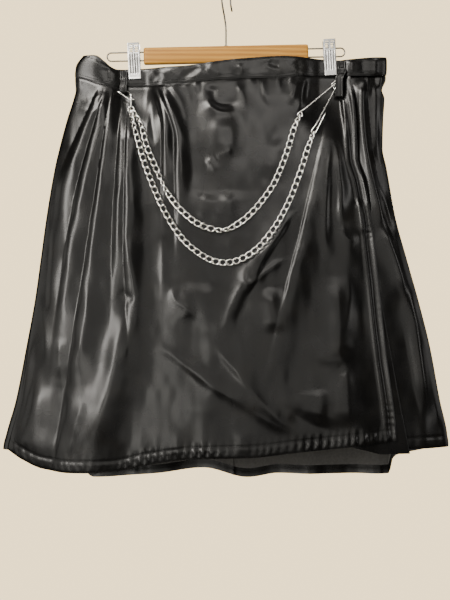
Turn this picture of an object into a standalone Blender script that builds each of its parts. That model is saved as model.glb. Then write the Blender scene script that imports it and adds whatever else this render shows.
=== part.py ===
"""A black leather-look wrap skirt with a double chain, hung from a wooden clip hanger, at real size.

Every size below is in millimetres, and MM turns it into Blender's metres. X runs to the right as seen
from the front, Y runs to the back and Z up. The origin is the point where the hanger's hook hangs.
Heights on the cloth are given as "down": millimetres below that point.
"""

import math
from collections import namedtuple

import bmesh
import bpy
import numpy as np
from mathutils import Matrix, Quaternion, Vector

MM = 0.001
GAP = 0.3

# Cloth
CLOTH = 1.2
BAND = 2.4
CLAMPED = 1.5  # how far the band's middle lies from the middle plane inside a clip
SEAM_INSET_RIGHT = 4.0  # the right side seam lies this far behind the edge
CENTRE_BACK = 13.0
ROWS = 14
FRONT_COLUMNS = 43
BACK_COLUMNS = 19
BAND_COLUMNS = 32
BAND_ROWS_DOWN = 3

# Hanger
BAR_LENGTH, BAR_HEIGHT, BAR_DEPTH, BAR_DOWN = 263.0, 27.0, 11.0, 110.0
BAR_TILT = math.radians(-1.2)
HOOK_WIRE = 1.4
HOOK_RADIUS = 17.0
HOOK_TURN = math.radians(65)
LOOP_WIRE = 1.2
LOOP_SPACING = 13.4
LOOP_REACH = 190.0
SOCKET_DEPTH = 13.0
CLIP_WIDTH, CLIP_HEIGHT, CLIP_SHEET, CLIP_TILT = 19.0, 57.0, 1.2, math.radians(-3)
WEB_TOP, WEB_BOTTOM = 8.0, 5.5  # the spring web between a clip's jaws, above the clip's middle
PAD_THICK = 1.3
PAD_INSET = 0.5

# One jaw of a clip from its top to its lip: how far it lies from the middle plane, and how high
JawPoint = namedtuple("JawPoint", "out up")
JAW = (
    JawPoint(8.0, CLIP_HEIGHT / 2),
    JawPoint(6.6, 14.0),
    JawPoint(6.8, 6.0),
    JawPoint(5.2, -8.0),
    JawPoint(5.2, -CLIP_HEIGHT / 2),
)

# The hook's wire in its own plane: the stem before the arch, and the tip after it
HookPoint = namedtuple("HookPoint", "u down")
HOOK_STEM = (
    HookPoint(0, BAR_DOWN - 1),
    HookPoint(0, 72),
    HookPoint(-1.5, 62),
    HookPoint(-6, 50),
    HookPoint(-11.5, 39),
    HookPoint(-15.5, 28),
)
HOOK_TIP = (
    HookPoint(HOOK_RADIUS + 0.6, 22),
    HookPoint(HOOK_RADIUS + 2.5, 28),
    HookPoint(HOOK_RADIUS + 6, 34),
)

# Chain hardware
LINK_WIRE = 1.2
LINK_HALF_WIDTH = 4.2
LINK_PITCH = 11.0
LINK_TWIST = math.radians(45)
LINK_FUSE = 0.6
RING_RADIUS, RING_WIRE = 4.8, 0.9
HOOKED_IN = 3.0  # from the middle of a link's end wire to the ring or pin that it hangs on
BARREL_RADIUS, NECK_RADIUS, KNOB_RADIUS = 2.3, 1.3, 1.0
CLASP_WIRE = 1.0
EYE_RADIUS, EYE_WIRE = 2.4, 0.9
PIN_WIRE = 0.9
PIN_EYE = 3.6
PIN_SHAFT = 1.6  # how far the pin's shaft lies beside its middle line
STRAP_WALL = 1.2
STRAP_TURN = 3.0
SPARE = 0.9  # for cloth that is flat between its points
PIN_APART = 1.2  # the pins pass through the belt loop this far in front of and behind its middle

Clip = namedtuple("Clip", "name x down inner_fall outer_fall pad_top")
CLIPS = (
    Clip("left", -146.5, 121.0, 24.0, 20.0, -13.0),
    Clip("right", 166.0, 115.0, 24.0, 11.0, -7.0),
)
CLIP_FLAT = 14.0  # half the width over which a clip holds the cloth flat
CLIP_FADE = (165.0, 250.0)  # the pinch fades out between these heights

# Outline of the hanging skirt: its side edges, and how far front and back bulge from the middle plane
Level = namedtuple("Level", "down left right front back")
LEVELS = (
    Level(114, -226, 256, 12, 12),
    Level(130, -238, 256, 12, 12),
    Level(150, -241, 255, 12, 12),
    Level(167, -240, 249, 13, 13),
    Level(180, -243, 253, 14, 14),
    Level(215, -254, 251, 17, 17),
    Level(260, -266, 250, 20, 20),
    Level(290, -273, 256, 22, 22),
    Level(372, -287, 271, 27, 26),
    Level(438, -296, 289, 31, 29),
    Level(502, -305, 307, 34, 32),
    Level(578, -319, 326, 38, 35),
    Level(664, -336, 342, 42, 38),
    Level(713, -350, 353, 44, 40),
    Level(740, -356, 356, 45, 41),
    Level(795, -358, 358, 46, 42),
)

# The waistband's upper and lower edge
BandRow = namedtuple("BandRow", "x top bottom")
BAND_ROWS = (
    BandRow(-241, 114, 147),
    BandRow(-228, 115, 150),
    BandRow(-200, 124, 158),
    BandRow(-174, 135, 162),
    BandRow(-147, 134, 162),
    BandRow(-76, 131, 158),
    BandRow(6, 120, 151),
    BandRow(87, 115, 149),
    BandRow(128, 117, 145),
    BandRow(183, 120, 145),
    BandRow(233, 116, 145),
    BandRow(256, 115, 143),
)

# Lower edges
HemRow = namedtuple("HemRow", "x down")
FRONT_HEM = (
    HemRow(-346, 740),
    HemRow(-320, 754),
    HemRow(-286, 767),
    HemRow(-240, 772),
    HemRow(-181, 771),
    HemRow(-120, 759),
    HemRow(-56, 750),
    HemRow(44, 747),
    HemRow(100, 741),
    HemRow(178, 733),
    HemRow(268, 723),
)
RIGHT_HEM = (
    HemRow(195, 732),
    HemRow(222, 739),
    HemRow(244, 744),
    HemRow(289, 744),
    HemRow(310, 738),
    HemRow(356, 736),
)
BACK_HEM = (
    HemRow(-356, 740),
    HemRow(-300, 752),
    HemRow(-234, 766),
    HemRow(-228, 786),
    HemRow(-216, 792),
    HemRow(-108, 785),
    HemRow(-35, 778),
    HemRow(35, 793),
    HemRow(86, 787),
    HemRow(266, 786),
    HemRow(273, 757),
    HemRow(310, 746),
    HemRow(356, 736),
)

# Edges that run down the front: the overlap's free edge, the knife pleat beside it, and how far the
# left side seam lies in from the left edge
EdgeRow = namedtuple("EdgeRow", "down at")
FREE_EDGE = (
    EdgeRow(150, 199),
    EdgeRow(218, 206),
    EdgeRow(277, 208),
    EdgeRow(316, 219),
    EdgeRow(386, 231),
    EdgeRow(440, 237),
    EdgeRow(502, 243),
    EdgeRow(581, 251),
    EdgeRow(690, 265),
    EdgeRow(725, 268),
)
PLEAT_EDGE = (
    EdgeRow(145, 195),
    EdgeRow(218, 200),
    EdgeRow(277, 202),
    EdgeRow(316, 211),
    EdgeRow(386, 223),
    EdgeRow(440, 232),
    EdgeRow(490, 243),
    EdgeRow(581, 259),
    EdgeRow(659, 273),
    EdgeRow(744, 289),
)
PLEAT_DEPTH = (EdgeRow(145, 5), EdgeRow(300, 8), EdgeRow(500, 14), EdgeRow(744, 20))
PLEAT_LAYER = (EdgeRow(145, 1.8), EdgeRow(400, 2.2), EdgeRow(744, 2.8))
UNDER_EDGE = (EdgeRow(145, 185), EdgeRow(740, 196))
UNDER_DROP = (EdgeRow(145, 2.2), EdgeRow(200, 2.8))  # how far the right panel lies behind the overlap
LEFT_INSET = (EdgeRow(114, 3), EdgeRow(520, 3), EdgeRow(600, 6), EdgeRow(700, 10), EdgeRow(745, 10))

# Folds: a ridge, or with a negative height a trough, runs through three points and is as wide and as
# high as its row says. "steep" names the side, -1 left or 1 right, on which a knife pleat drops.
Fold = namedtuple("Fold", "downs xs widths heights steep")
FRONT_FOLDS = (
    Fold((165, 345, 600), (-202, -262, -276), (9, 20, 24), (2, 7, 0), 0),
    Fold((165, 353, 640), (-192, -233, -268), (8, 16, 24), (3, 7, 0), 1),
    Fold((165, 430, 770), (-180, -212, -258), (8, 16, 26), (3, 7, 4), 1),
    Fold((170, 370, 560), (-166, -170, -172), (7, 14, 20), (3, 6, 0), 0),
    Fold((175, 400, 620), (-155, -153, -138), (8, 15, 20), (3, 7, 0), 1),
    Fold((500, 640, 772), (-140, -180, -218), (26, 30, 34), (0, 8, 6), 0),
    Fold((290, 500, 772), (-128, -119, -162), (16, 24, 26), (0, -9, -6), 0),
    Fold((160, 230, 400), (-116, -96, -95), (8, 10, 14), (3, 5, 0), 0),
    Fold((160, 250, 450), (-106, -74, -72), (8, 11, 16), (3, 6, 0), 0),
    Fold((160, 240, 330), (-30, -14, -8), (14, 18, 24), (2, 4, 0), 0),
    Fold((215, 389, 640), (158, 123, 66), (12, 18, 30), (0, 6, 0), -1),
    Fold((225, 340, 480), (164, 182, 208), (10, 14, 18), (0, 4, 0), 0),
    Fold((360, 443, 580), (106, 50, -16), (12, 15, 20), (0, 4, 0), 1),
    Fold((560, 640, 722), (-134, 0, 132), (24, 26, 26), (0, 4, 0), 0),
    Fold((540, 628, 725), (-30, 28, 118), (18, 20, 22), (0, 4, 0), 0),
    Fold((330, 560, 748), (40, 20, 0), (50, 70, 80), (0, 4, 5), 0),
    Fold((480, 640, 735), (176, 190, 196), (24, 28, 32), (0, 4, 4), 0),
    Fold((150, 290, 460), (215, 228, 268), (12, 13, 18), (3, 5, 0), 1),
    Fold((380, 560, 740), (272, 300, 318), (12, 14, 18), (0, 3, 3), 0),
)
BACK_FOLDS = (
    Fold((165, 345, 640), (-190, -240, -282), (10, 20, 26), (2, 6, 0), -1),
    Fold((165, 430, 790), (-165, -200, -230), (9, 18, 10), (3, 7, 7), -1),
    Fold((170, 400, 700), (-140, -150, -150), (10, 18, 26), (3, 6, 0), 0),
    Fold((280, 540, 790), (-96, -104, -112), (18, 26, 30), (0, -7, -6), 0),
    Fold((165, 380, 790), (-60, -58, -50), (12, 24, 32), (2, 6, 6), 0),
    Fold((165, 450, 790), (60, 72, 84), (12, 26, 34), (2, 7, 6), 0),
    Fold((300, 560, 790), (118, 130, 140), (18, 24, 28), (0, -6, -6), 0),
    Fold((165, 380, 790), (150, 190, 210), (10, 20, 28), (3, 6, 5), 0),
    Fold((165, 430, 790), (196, 236, 268), (9, 15, 10), (3, 6, 7), 1),
    Fold((300, 500, 700), (236, 286, 318), (10, 14, 18), (0, 3, 0), 0),
)

# Chains, from the ring on the left to the pins on the right
PathPoint = namedtuple("PathPoint", "x down")
UPPER_CHAIN = (
    PathPoint(-134, 227),
    PathPoint(-125, 260),
    PathPoint(-116, 282),
    PathPoint(-106, 305),
    PathPoint(-95, 329),
    PathPoint(-81, 350),
    PathPoint(-65, 367),
    PathPoint(-46, 382),
    PathPoint(-23, 391),
    PathPoint(0, 393),
    PathPoint(25, 379),
    PathPoint(41, 365),
    PathPoint(57, 346),
    PathPoint(74, 322),
    PathPoint(90, 286),
    PathPoint(99, 260),
    PathPoint(108, 229),
)
LOWER_CHAIN = (
    PathPoint(-144, 233),
    PathPoint(-137, 255),
    PathPoint(-129, 285),
    PathPoint(-108, 339),
    PathPoint(-84, 385),
    PathPoint(-58, 417),
    PathPoint(-26, 439),
    PathPoint(-4, 444),
    PathPoint(18, 441),
    PathPoint(49, 422),
    PathPoint(78, 386),
    PathPoint(101, 343),
    PathPoint(120, 292),
    PathPoint(129, 263),
)
STRAP_LEFT = (-168.5, -157.5)
STRAP_RIGHT = (178.5, 190.5)
STRAP_SLANT = 5.0  # the right belt loop is pulled this far towards the pins below the band
STRAP_LEFT_BOTTOM = 174.0
STRAP_RIGHT_BOTTOM = 180.0
BODY_X, BODY_TOP, BODY_BOTTOM = -150.5, 176.0, 188.5
KNOB_DOWN = 184.4
EYE_DOWN = 195.5

# The clasp's bent wire: "share" is 0 in the belt loop's depth and 1 in the barrel's, "out" is added
# towards the front
ClaspPoint = namedtuple("ClaspPoint", "x share out down")
CLASP_HOOK = (
    ClaspPoint(BODY_X, 1.0, 0.0, 178.5),
    ClaspPoint(-153.0, 0.5, 0.0, 174.5),
    ClaspPoint(-156.0, 0.0, 0.2, 171.3),
    ClaspPoint(-163.0, 0.0, 0.0, 170.7),
    ClaspPoint(-169.0, 0.0, 0.0, 170.5),
    ClaspPoint(-171.6, 0.0, 1.4, 170.7),
    ClaspPoint(-172.4, 0.0, 3.6, 171.2),
    ClaspPoint(-171.0, 0.0, 5.6, 172.2),
    ClaspPoint(-163.0, 0.0, 6.2, 177.5),
    ClaspPoint(-155.0, 0.5, 3.1, 183.6),
    ClaspPoint(BODY_X, 1.0, 0.0, 186.0),
)
PIN_UPPER_EYE = PathPoint(117.0, 209.5)
PIN_UPPER_TOP = PathPoint(186.0, 148.0)
PIN_LOWER_EYE = PathPoint(138.5, 236.0)
PIN_LOWER_TOP = PathPoint(181.0, 152.0)

# How far the chains turn about their own length, by the share of the length from the left end
RollRow = namedtuple("RollRow", "along roll")
UPPER_ROLL = (
    RollRow(0.0, 60),
    RollRow(0.05, 60),
    RollRow(0.12, 5),
    RollRow(0.2, 0),
    RollRow(0.27, 75),
    RollRow(0.34, 5),
    RollRow(0.47, 0),
    RollRow(0.53, 70),
    RollRow(0.6, 0),
    RollRow(0.93, 0),
    RollRow(0.98, -60),
    RollRow(1.0, -60),
)
LOWER_ROLL = (
    RollRow(0.0, 60),
    RollRow(0.05, 55),
    RollRow(0.12, 5),
    RollRow(0.2, 0),
    RollRow(0.93, 0),
    RollRow(0.98, -60),
    RollRow(1.0, -60),
)

# name: colour, roughness, metallic
MATERIALS = {
    "leather": ((0.016, 0.014, 0.013), 0.38, 0.0),
    "wood": ((0.62, 0.38, 0.17), 0.5, 0.0),
    "steel": ((0.62, 0.62, 0.60), 0.3, 1.0),
    "silver": ((0.78, 0.76, 0.72), 0.22, 1.0),
    "rubber": ((0.02, 0.02, 0.02), 0.8, 0.0),
}


def through(rows, key, value, at):
    """The smooth curve through the rows, flat past both ends."""
    keys = np.array([getattr(row, key) for row in rows], float)
    values = np.array([getattr(row, value) for row in rows], float)
    return smooth(keys, values, at)


def smooth(keys, values, at):
    """A cubic through the points whose slopes never overshoot a level stretch."""
    keys, values = np.asarray(keys, float), np.asarray(values, float)
    at = min(max(at, keys[0]), keys[-1])
    i = int(min(max(np.searchsorted(keys, at) - 1, 0), len(keys) - 2))
    chords = np.diff(values) / np.diff(keys)

    def slope(k):
        before = chords[max(k - 1, 0)]
        after = chords[min(k, len(chords) - 1)]
        if before * after <= 0:
            return 0.0
        return 2 * before * after / (before + after)

    step = keys[i + 1] - keys[i]
    t = (at - keys[i]) / step
    a, b = values[i], values[i + 1]
    return float(
        a * (1 + 2 * t) * (1 - t) ** 2
        + slope(i) * step * t * (1 - t) ** 2
        + b * t * t * (3 - 2 * t)
        + slope(i + 1) * step * t * t * (t - 1)
    )


def ease(start, end, at):
    """0 before start, 1 after end, and smooth between."""
    t = min(max((at - start) / (end - start), 0.0), 1.0)
    return t * t * (3 - 2 * t)


def sides(down):
    """(middle, half width) of the hanging skirt at a height."""
    left = through(LEVELS, "down", "left", down)
    right = through(LEVELS, "down", "right", down)
    return (left + right) / 2, (right - left) / 2


def x_at(t, down):
    middle, half = sides(down)
    return middle + half * t


def t_at(x, down):
    middle, half = sides(down)
    return (x - middle) / half


def band_edge(x, edge):
    return through(BAND_ROWS, "x", edge, x)


def pinch(x, down):
    """How much a clip holds the cloth flat there, from 0 to 1."""
    most = 0.0
    for clip in CLIPS:
        outside = (x - clip.x) * (1 if clip.x > 0 else -1) > 0
        fall = clip.outer_fall if outside else clip.inner_fall
        away = max(0.0, abs(x - clip.x) - CLIP_FLAT)
        most = max(most, math.exp(-((away / fall) ** 2)))
    return most * (1 - ease(*CLIP_FADE, down))


def folds_at(folds, x, down):
    """The height of the folds there, fading out towards the waistband."""
    height = 0.0
    for fold in folds:
        if not fold.downs[0] < down:
            continue
        centre = smooth(fold.downs, fold.xs, down)
        across = (x - centre) / smooth(fold.downs, fold.widths, down)
        if across * fold.steep > 0:
            across *= 2.0
        rise = smooth(fold.downs, fold.heights, down)
        height += rise * math.exp(-across * across)
    return height * ease(0, 30, down - band_edge(x, "bottom"))


def cloth_y(side, t, down):
    """Where the outermost cloth's middle lies: side is -1 for the front and 1 for the back."""
    x = x_at(t, down)
    swell = math.sqrt(max(0.0, 1 - abs(t) ** 3))
    column, folds = ("front", FRONT_FOLDS) if side < 0 else ("back", BACK_FOLDS)
    held = pinch(x, down)
    free = through(LEVELS, "down", column, down) * swell
    free += folds_at(folds, x, down) * min(1.0, 1.6 * swell)
    return side * (free * (1 - held) + min(CLAMPED, free + 0.2) * held)


def front_y(x, down):
    return cloth_y(-1, t_at(x, down), down)


def material(name):
    found = bpy.data.materials.get(name)
    if found is None:
        colour, roughness, metallic = MATERIALS[name]
        found = bpy.data.materials.new(name)
        found.use_nodes = True
        shader = found.node_tree.nodes["Principled BSDF"]
        shader.inputs["Base Color"].default_value = (*colour, 1.0)
        shader.inputs["Roughness"].default_value = roughness
        shader.inputs["Metallic"].default_value = metallic
    return found


def link(obj, group, finish):
    """Puts the object in its collection with its material."""
    for other in list(obj.users_collection):
        other.objects.unlink(obj)
    group.objects.link(obj)
    obj.data.materials.clear()
    obj.data.materials.append(material(finish))
    return obj


def mesh_object(name, bm):
    mesh = bpy.data.meshes.new(name)
    bm.to_mesh(mesh)
    bm.free()
    obj = bpy.data.objects.new(name, mesh)
    bpy.context.scene.collection.objects.link(obj)
    return obj


def wall(name, grid, thickness, group, finish="leather"):
    """A wall of cloth whose middle runs through the grid's rows of points, in millimetres."""
    bm = bmesh.new()
    rows = [[bm.verts.new(Vector(p) * MM) for p in row] for row in grid]
    for upper, lower in zip(rows, rows[1:]):
        for k in range(len(upper) - 1):
            bm.faces.new((upper[k], lower[k], lower[k + 1], upper[k + 1]))
    obj = link(mesh_object(name, bm), group, finish)
    solid = obj.modifiers.new("thickness", "SOLIDIFY")
    solid.thickness = thickness * MM
    solid.offset = 0
    solid.use_even_offset = True
    obj.data.shade_smooth()
    obj.data.set_sharp_from_angle(angle=math.radians(50))
    return obj


def wire(name, points, radius, group, finish):
    """A wire of round section through the points, in millimetres."""
    curve = bpy.data.curves.new(name, "CURVE")
    curve.dimensions = "3D"
    curve.bevel_depth = radius * MM
    curve.bevel_resolution = 1
    curve.use_fill_caps = True
    spline = curve.splines.new("POLY")
    spline.points.add(len(points) - 1)
    for place, point in zip(spline.points, points):
        place.co = (*(Vector(point) * MM), 1)
    obj = bpy.data.objects.new(name, curve)
    bpy.context.scene.collection.objects.link(obj)
    return link(obj, group, finish)


def as_mesh(obj, group, finish):
    """The curve object made a closed mesh."""
    bpy.context.view_layer.update()
    graph = bpy.context.evaluated_depsgraph_get()
    mesh = bpy.data.meshes.new_from_object(obj.evaluated_get(graph))
    bm = bmesh.new()
    bm.from_mesh(mesh)
    bmesh.ops.remove_doubles(bm, verts=bm.verts, dist=0.00001)
    bmesh.ops.recalc_face_normals(bm, faces=bm.faces)
    bm.to_mesh(mesh)
    bm.free()
    name, place = obj.name, obj.matrix_world.copy()
    curve = obj.data
    bpy.data.objects.remove(obj)
    bpy.data.curves.remove(curve)
    made = bpy.data.objects.new(name, mesh)
    made.matrix_world = place
    bpy.context.scene.collection.objects.link(made)
    return link(made, group, finish)


def rod(name, start, end, radius, group, finish="steel", sides_round=10):
    """A straight round bar between two points, in millimetres."""
    start, end = Vector(start) * MM, Vector(end) * MM
    axis = end - start
    bm = bmesh.new()
    place = Matrix.Translation((start + end) / 2) @ axis.to_track_quat("Z", "Y").to_matrix().to_4x4()
    bmesh.ops.create_cone(
        bm,
        cap_ends=True,
        segments=sides_round,
        radius1=radius * MM,
        radius2=radius * MM,
        depth=axis.length,
        matrix=place,
    )
    return link(mesh_object(name, bm), group, finish)


def block(name, low, high, group, finish, bevel=0.0):
    """A box between two corners, in millimetres, with rounded edges."""
    low, high = Vector(low), Vector(high)
    bm = bmesh.new()
    bmesh.ops.create_cube(bm, size=1.0, matrix=Matrix.Diagonal(((high - low) * MM).to_4d()))
    obj = link(mesh_object(name, bm), group, finish)
    obj.location = (low + high) / 2 * MM
    if bevel:
        rounded = obj.modifiers.new("rounded edges", "BEVEL")
        rounded.width = bevel * MM
        rounded.segments = 2
    return obj


def boolean(obj, other, operation):
    cut = obj.modifiers.new(other.name, "BOOLEAN")
    cut.object = other
    cut.operation = operation
    cut.solver = "EXACT"


def helper(obj, cutters):
    """Marks an object as one that only shapes another."""
    for other in list(obj.users_collection):
        other.objects.unlink(obj)
    cutters.objects.link(obj)
    obj.hide_render = True
    obj.display_type = "WIRE"
    return obj


# Cloth ------------------------------------------------------------------------------------------


def left_seam(down):
    return -1 + through(LEFT_INSET, "down", "at", down) / sides(down)[1]


def right_seam(down):
    return 1 - SEAM_INSET_RIGHT / sides(down)[1]


def spread(count, crowd=0.35):
    """Numbers from 0 to 1 that lie closer together near both ends."""
    v = np.linspace(-1, 1, count)
    return (v * (1 + crowd - crowd * v * v) + 1) / 2


def stops(start, end, count, marks=(), crowd=0.35):
    """Places from start to end, where the nearest place to each mark is moved onto it."""
    places = start + (end - start) * spread(count, crowd)
    for mark in marks:
        if start < mark < end:
            places[1 + np.abs(places[1:-1] - mark).argmin()] = mark
    return places


def column_points(top, bottom, rows, place):
    """The points of one column of cloth from its upper to its lower edge."""
    return [place(down) for down in np.linspace(top, bottom, rows)]


def grid_of(columns):
    return [list(row) for row in zip(*columns)]


def waistbands(group):
    """The front and the back band. The front one wraps round the right edge, the back one the left."""
    marks = [t_at(clip.x + side * CLIP_FLAT, 140) for clip in CLIPS for side in (-1, 1)]

    def band_column(side, t, shift=0.0):
        x = x_at(t, 148)
        top, bottom = band_edge(x, "top"), band_edge(x, "bottom")

        def place(down):
            return (x_at(t, down) + shift, cloth_y(side, t, down), -down)

        return column_points(top, bottom, BAND_ROWS_DOWN, place)

    seam_left, seam_right = left_seam(148), right_seam(148)
    half_gap = GAP / 2 + 0.05
    front = [band_column(-1, seam_left, half_gap)]
    front += [band_column(-1, t) for t in stops(seam_left, 1.0, BAND_COLUMNS, marks)[1:]]
    front += [band_column(1, 1 - (1 - seam_right) * f) for f in (0.35, 0.7)]
    front += [band_column(1, seam_right, half_gap)]
    back = [band_column(-1, seam_left, -half_gap)]
    back += [band_column(-1, -1 + (seam_left + 1) * f) for f in (0.6, 0.25)]
    back += [band_column(1, t) for t in stops(-1.0, seam_right, BAND_COLUMNS, marks)[:-1]]
    back += [band_column(1, seam_right, -half_gap)]
    wall("waistband_front", grid_of(front), BAND, group)
    wall("waistband_back", grid_of(back), BAND, group)


def panel_top(x):
    return band_edge(x, "bottom") + GAP


def front_overlap(group):
    """The wide front panel, from the left side seam to its free edge on the right."""
    columns = []
    for s in spread(FRONT_COLUMNS, 0.1):

        def t_of(down, s=s):
            start = left_seam(down)
            end = t_at(through(FREE_EDGE, "down", "at", down), down)
            return start + (end - start) * s

        def place(down, s=s):
            t = t_of(down)
            shift = GAP / 2 + 0.05 if s == 0 else 0.0
            return (x_at(t, down) + shift, cloth_y(-1, t, down), -down)

        top = panel_top(x_at(t_of(150), 150))
        bottom = through(FRONT_HEM, "x", "down", x_at(t_of(740), 740))
        columns.append(column_points(top, bottom, ROWS, place))
    wall("front_overlap_panel", grid_of(columns), CLOTH, group)


def right_panel(group):
    """The panel under the overlap: it folds back on itself in one knife pleat and runs to the right."""
    columns = []

    def under(x_of, drop_of, hem_x):
        def place(down):
            x = x_of(down)
            t = t_at(x, down)
            return (x, cloth_y(-1, t, down) + drop_of(down, t), -down)

        top = panel_top(x_of(150))
        bottom = through(RIGHT_HEM, "x", "down", hem_x)
        columns.append(column_points(top, bottom, ROWS, place))

    def edge(down):
        return through(PLEAT_EDGE, "down", "at", down)

    def layer(down):
        return through(PLEAT_LAYER, "down", "at", down)

    def fold_back(down):
        return edge(down) - through(PLEAT_DEPTH, "down", "at", down)

    def drop(down):
        return through(UNDER_DROP, "down", "at", down)

    def start(down):
        return through(UNDER_EDGE, "down", "at", down)

    for s in (0.0, 0.35, 0.7):
        under(
            lambda down, s=s: start(down) + (edge(down) - layer(down) / 2 - start(down)) * s,
            lambda down, t: drop(down),
            195 + (286 - 195) * s,
        )
    for turn in (-90, -30, 30, 90):
        c, d = math.cos(math.radians(turn)), math.sin(math.radians(turn))
        under(
            lambda down, c=c: edge(down) - layer(down) / 2 * (1 - c),
            lambda down, t, d=d: drop(down) + layer(down) / 2 * (1 + d),
            289,
        )
    for turn in (-90, -30, 30, 90):
        c, d = math.cos(math.radians(turn)), math.sin(math.radians(turn))
        under(
            lambda down, c=c: fold_back(down) + layer(down) / 2 * (1 - c),
            lambda down, t, d=d: drop(down) + layer(down) / 2 * (3 + d),
            289 if turn < 0 else 300,
        )

    def last_drop(down, t):
        """The third layer comes forward again as the skirt closes at its right edge."""
        first = t_at(fold_back(down), down)
        swell = math.sqrt(max(0.0, 1 - abs(t) ** 3)) / math.sqrt(1 - abs(first) ** 3)
        return (drop(down) + 2 * layer(down)) * min(1.0, swell)

    steps = spread(17, 0.3)
    for s in steps[1:]:

        def x_of(down, s=s):
            first = fold_back(down) + layer(down) / 2
            return first + (x_at(1.0, down) - first) * s

        under(x_of, last_drop, 300 + 56 * s)
    for f in (0.5, 1.0):

        def place(down, f=f):
            t = 1 - (1 - right_seam(down)) * f
            shift = GAP / 2 + 0.05 if f == 1.0 else 0.0
            return (x_at(t, down) + shift, cloth_y(1, t, down), -down)

        top = panel_top(x_at(1 - (1 - right_seam(150)) * f, 150))
        columns.append(column_points(top, 736, ROWS, place))
    wall("front_right_panel", grid_of(columns), CLOTH, group)


def back_panels(group):
    """The back, in two halves with a seam down the middle. The left half wraps round the left edge."""

    def back_column(t_of, side=1, shift=0.0, hem=None):
        def place(down):
            t = t_of(down)
            return (x_at(t, down) + shift, cloth_y(side, t, down), -down)

        low = x_at(t_of(750), 750)
        bottom = through(BACK_HEM, "x", "down", low) if hem is None else hem
        top = panel_top(x_at(t_of(150), 150))
        return column_points(top, bottom, ROWS, place)

    def centre(down):
        return t_at(CENTRE_BACK, down)

    left = [back_column(left_seam, -1, -GAP / 2 - 0.05, 740)]
    for f in (0.55, 0.2):
        left.append(back_column(lambda down, f=f: -1 + (left_seam(down) + 1) * f, -1, 0.0, 740))
    steps_left = [(x + 356) / (CENTRE_BACK + 356) for x in (-234, -228)]
    for s in stops(0.0, 1.0, BACK_COLUMNS, steps_left, 0.2):
        left.append(
            back_column(
                lambda down, s=s: -1 + (centre(down) + 1) * s,
                shift=-GAP / 2 if s == 1 else 0.0,
            )
        )
    right = []
    steps_right = [(x - CENTRE_BACK) / (356 - CENTRE_BACK) for x in (266, 273)]
    for s in stops(0.0, 1.0, BACK_COLUMNS, steps_right, 0.2):
        last = s == 1
        right.append(
            back_column(
                lambda down, s=s: centre(down) + (right_seam(down) - centre(down)) * s,
                shift=GAP / 2 if s == 0 else (-GAP / 2 - 0.05 if last else 0.0),
                hem=736 if last else None,
            )
        )
    wall("back_panel_left", grid_of(left), CLOTH, group)
    wall("back_panel_right", grid_of(right), CLOTH, group)


def strap(name, span, bottom, slant, group):
    """A belt loop: sewn to the band's top, pulled down over it and turned back up behind itself."""
    middle = sum(span) / 2
    top = band_edge(middle, "top") + 3
    low_edge = band_edge(middle, "bottom")

    def nearest(down):
        return min(front_y(x, down) for x in np.linspace(span[0] - slant, span[1], 7))

    seat = GAP + SPARE / 2 + STRAP_WALL / 2
    over_band = min(nearest(d) for d in np.linspace(top, low_edge, 5)) - BAND / 2 - seat
    inner = min(nearest(d) for d in np.linspace(low_edge, bottom, 5)) - CLOTH / 2 - seat - SPARE / 2
    outer = inner - 2 * STRAP_TURN
    turn_down = bottom - STRAP_TURN - STRAP_WALL / 2
    path = [(over_band, top), (over_band, low_edge - 12)]
    path += [((over_band + outer) / 2, low_edge - 6), (outer, min(low_edge, turn_down - 3))]
    path += [(outer, turn_down)]
    for angle in (-45, -90, -135):
        path.append(
            (
                inner - STRAP_TURN - STRAP_TURN * math.cos(math.radians(angle)),
                turn_down - STRAP_TURN * math.sin(math.radians(angle)),
            )
        )
    path += [(inner, turn_down), (inner, low_edge + 1.2)]
    grid = []
    for y, down in path:
        shift = -slant * ease(low_edge - 4, low_edge + 6, down)
        grid.append([(x + shift, y, -down) for x in (span[0], middle, span[1])])
    wall(name, grid, STRAP_WALL, group)
    return inner - STRAP_TURN


# Hanger -----------------------------------------------------------------------------------------


def bar(group, cutters, frame):
    wood = block(
        "hanger_bar",
        (-BAR_LENGTH / 2, -BAR_DEPTH / 2, -BAR_HEIGHT / 2),
        (BAR_LENGTH / 2, BAR_DEPTH / 2, BAR_HEIGHT / 2),
        group,
        "wood",
        2.0,
    )
    wood.parent = frame
    ends = [(side, level) for side in (-1, 1) for level in (-1, 1)]
    for number, (side, level) in enumerate(ends):
        z = level * LOOP_SPACING / 2
        hole = rod(
            f"socket_{number}",
            (side * (BAR_LENGTH / 2 + 2), 0, z),
            (side * (BAR_LENGTH / 2 - SOCKET_DEPTH), 0, z),
            LOOP_WIRE + GAP + 0.1,
            group,
        )
        helper(hole, cutters).parent = frame
        boolean(wood, hole, "DIFFERENCE")
    hole = rod("socket_hook", (0, 0, BAR_HEIGHT / 2 + 2), (0, 0, -2), HOOK_WIRE + GAP + 0.1, group)
    helper(hole, cutters).parent = frame
    boolean(wood, hole, "DIFFERENCE")


def hook(group):
    """A wire that rises from the bar, sweeps to one side and arches over the hanging point."""
    centre = HOOK_WIRE - HOOK_RADIUS
    path = [(p.u, -p.down) for p in HOOK_STEM]
    for angle in range(180, -1, -20):
        a = math.radians(angle)
        path.append((HOOK_RADIUS * math.cos(a), centre + HOOK_RADIUS * math.sin(a)))
    path += [(p.u, -p.down) for p in HOOK_TIP]
    c, s = math.cos(HOOK_TURN), math.sin(HOOK_TURN)
    wire("hanger_hook", [(u * c, u * s, z) for u, z in path], HOOK_WIRE, group, "steel")


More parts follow.
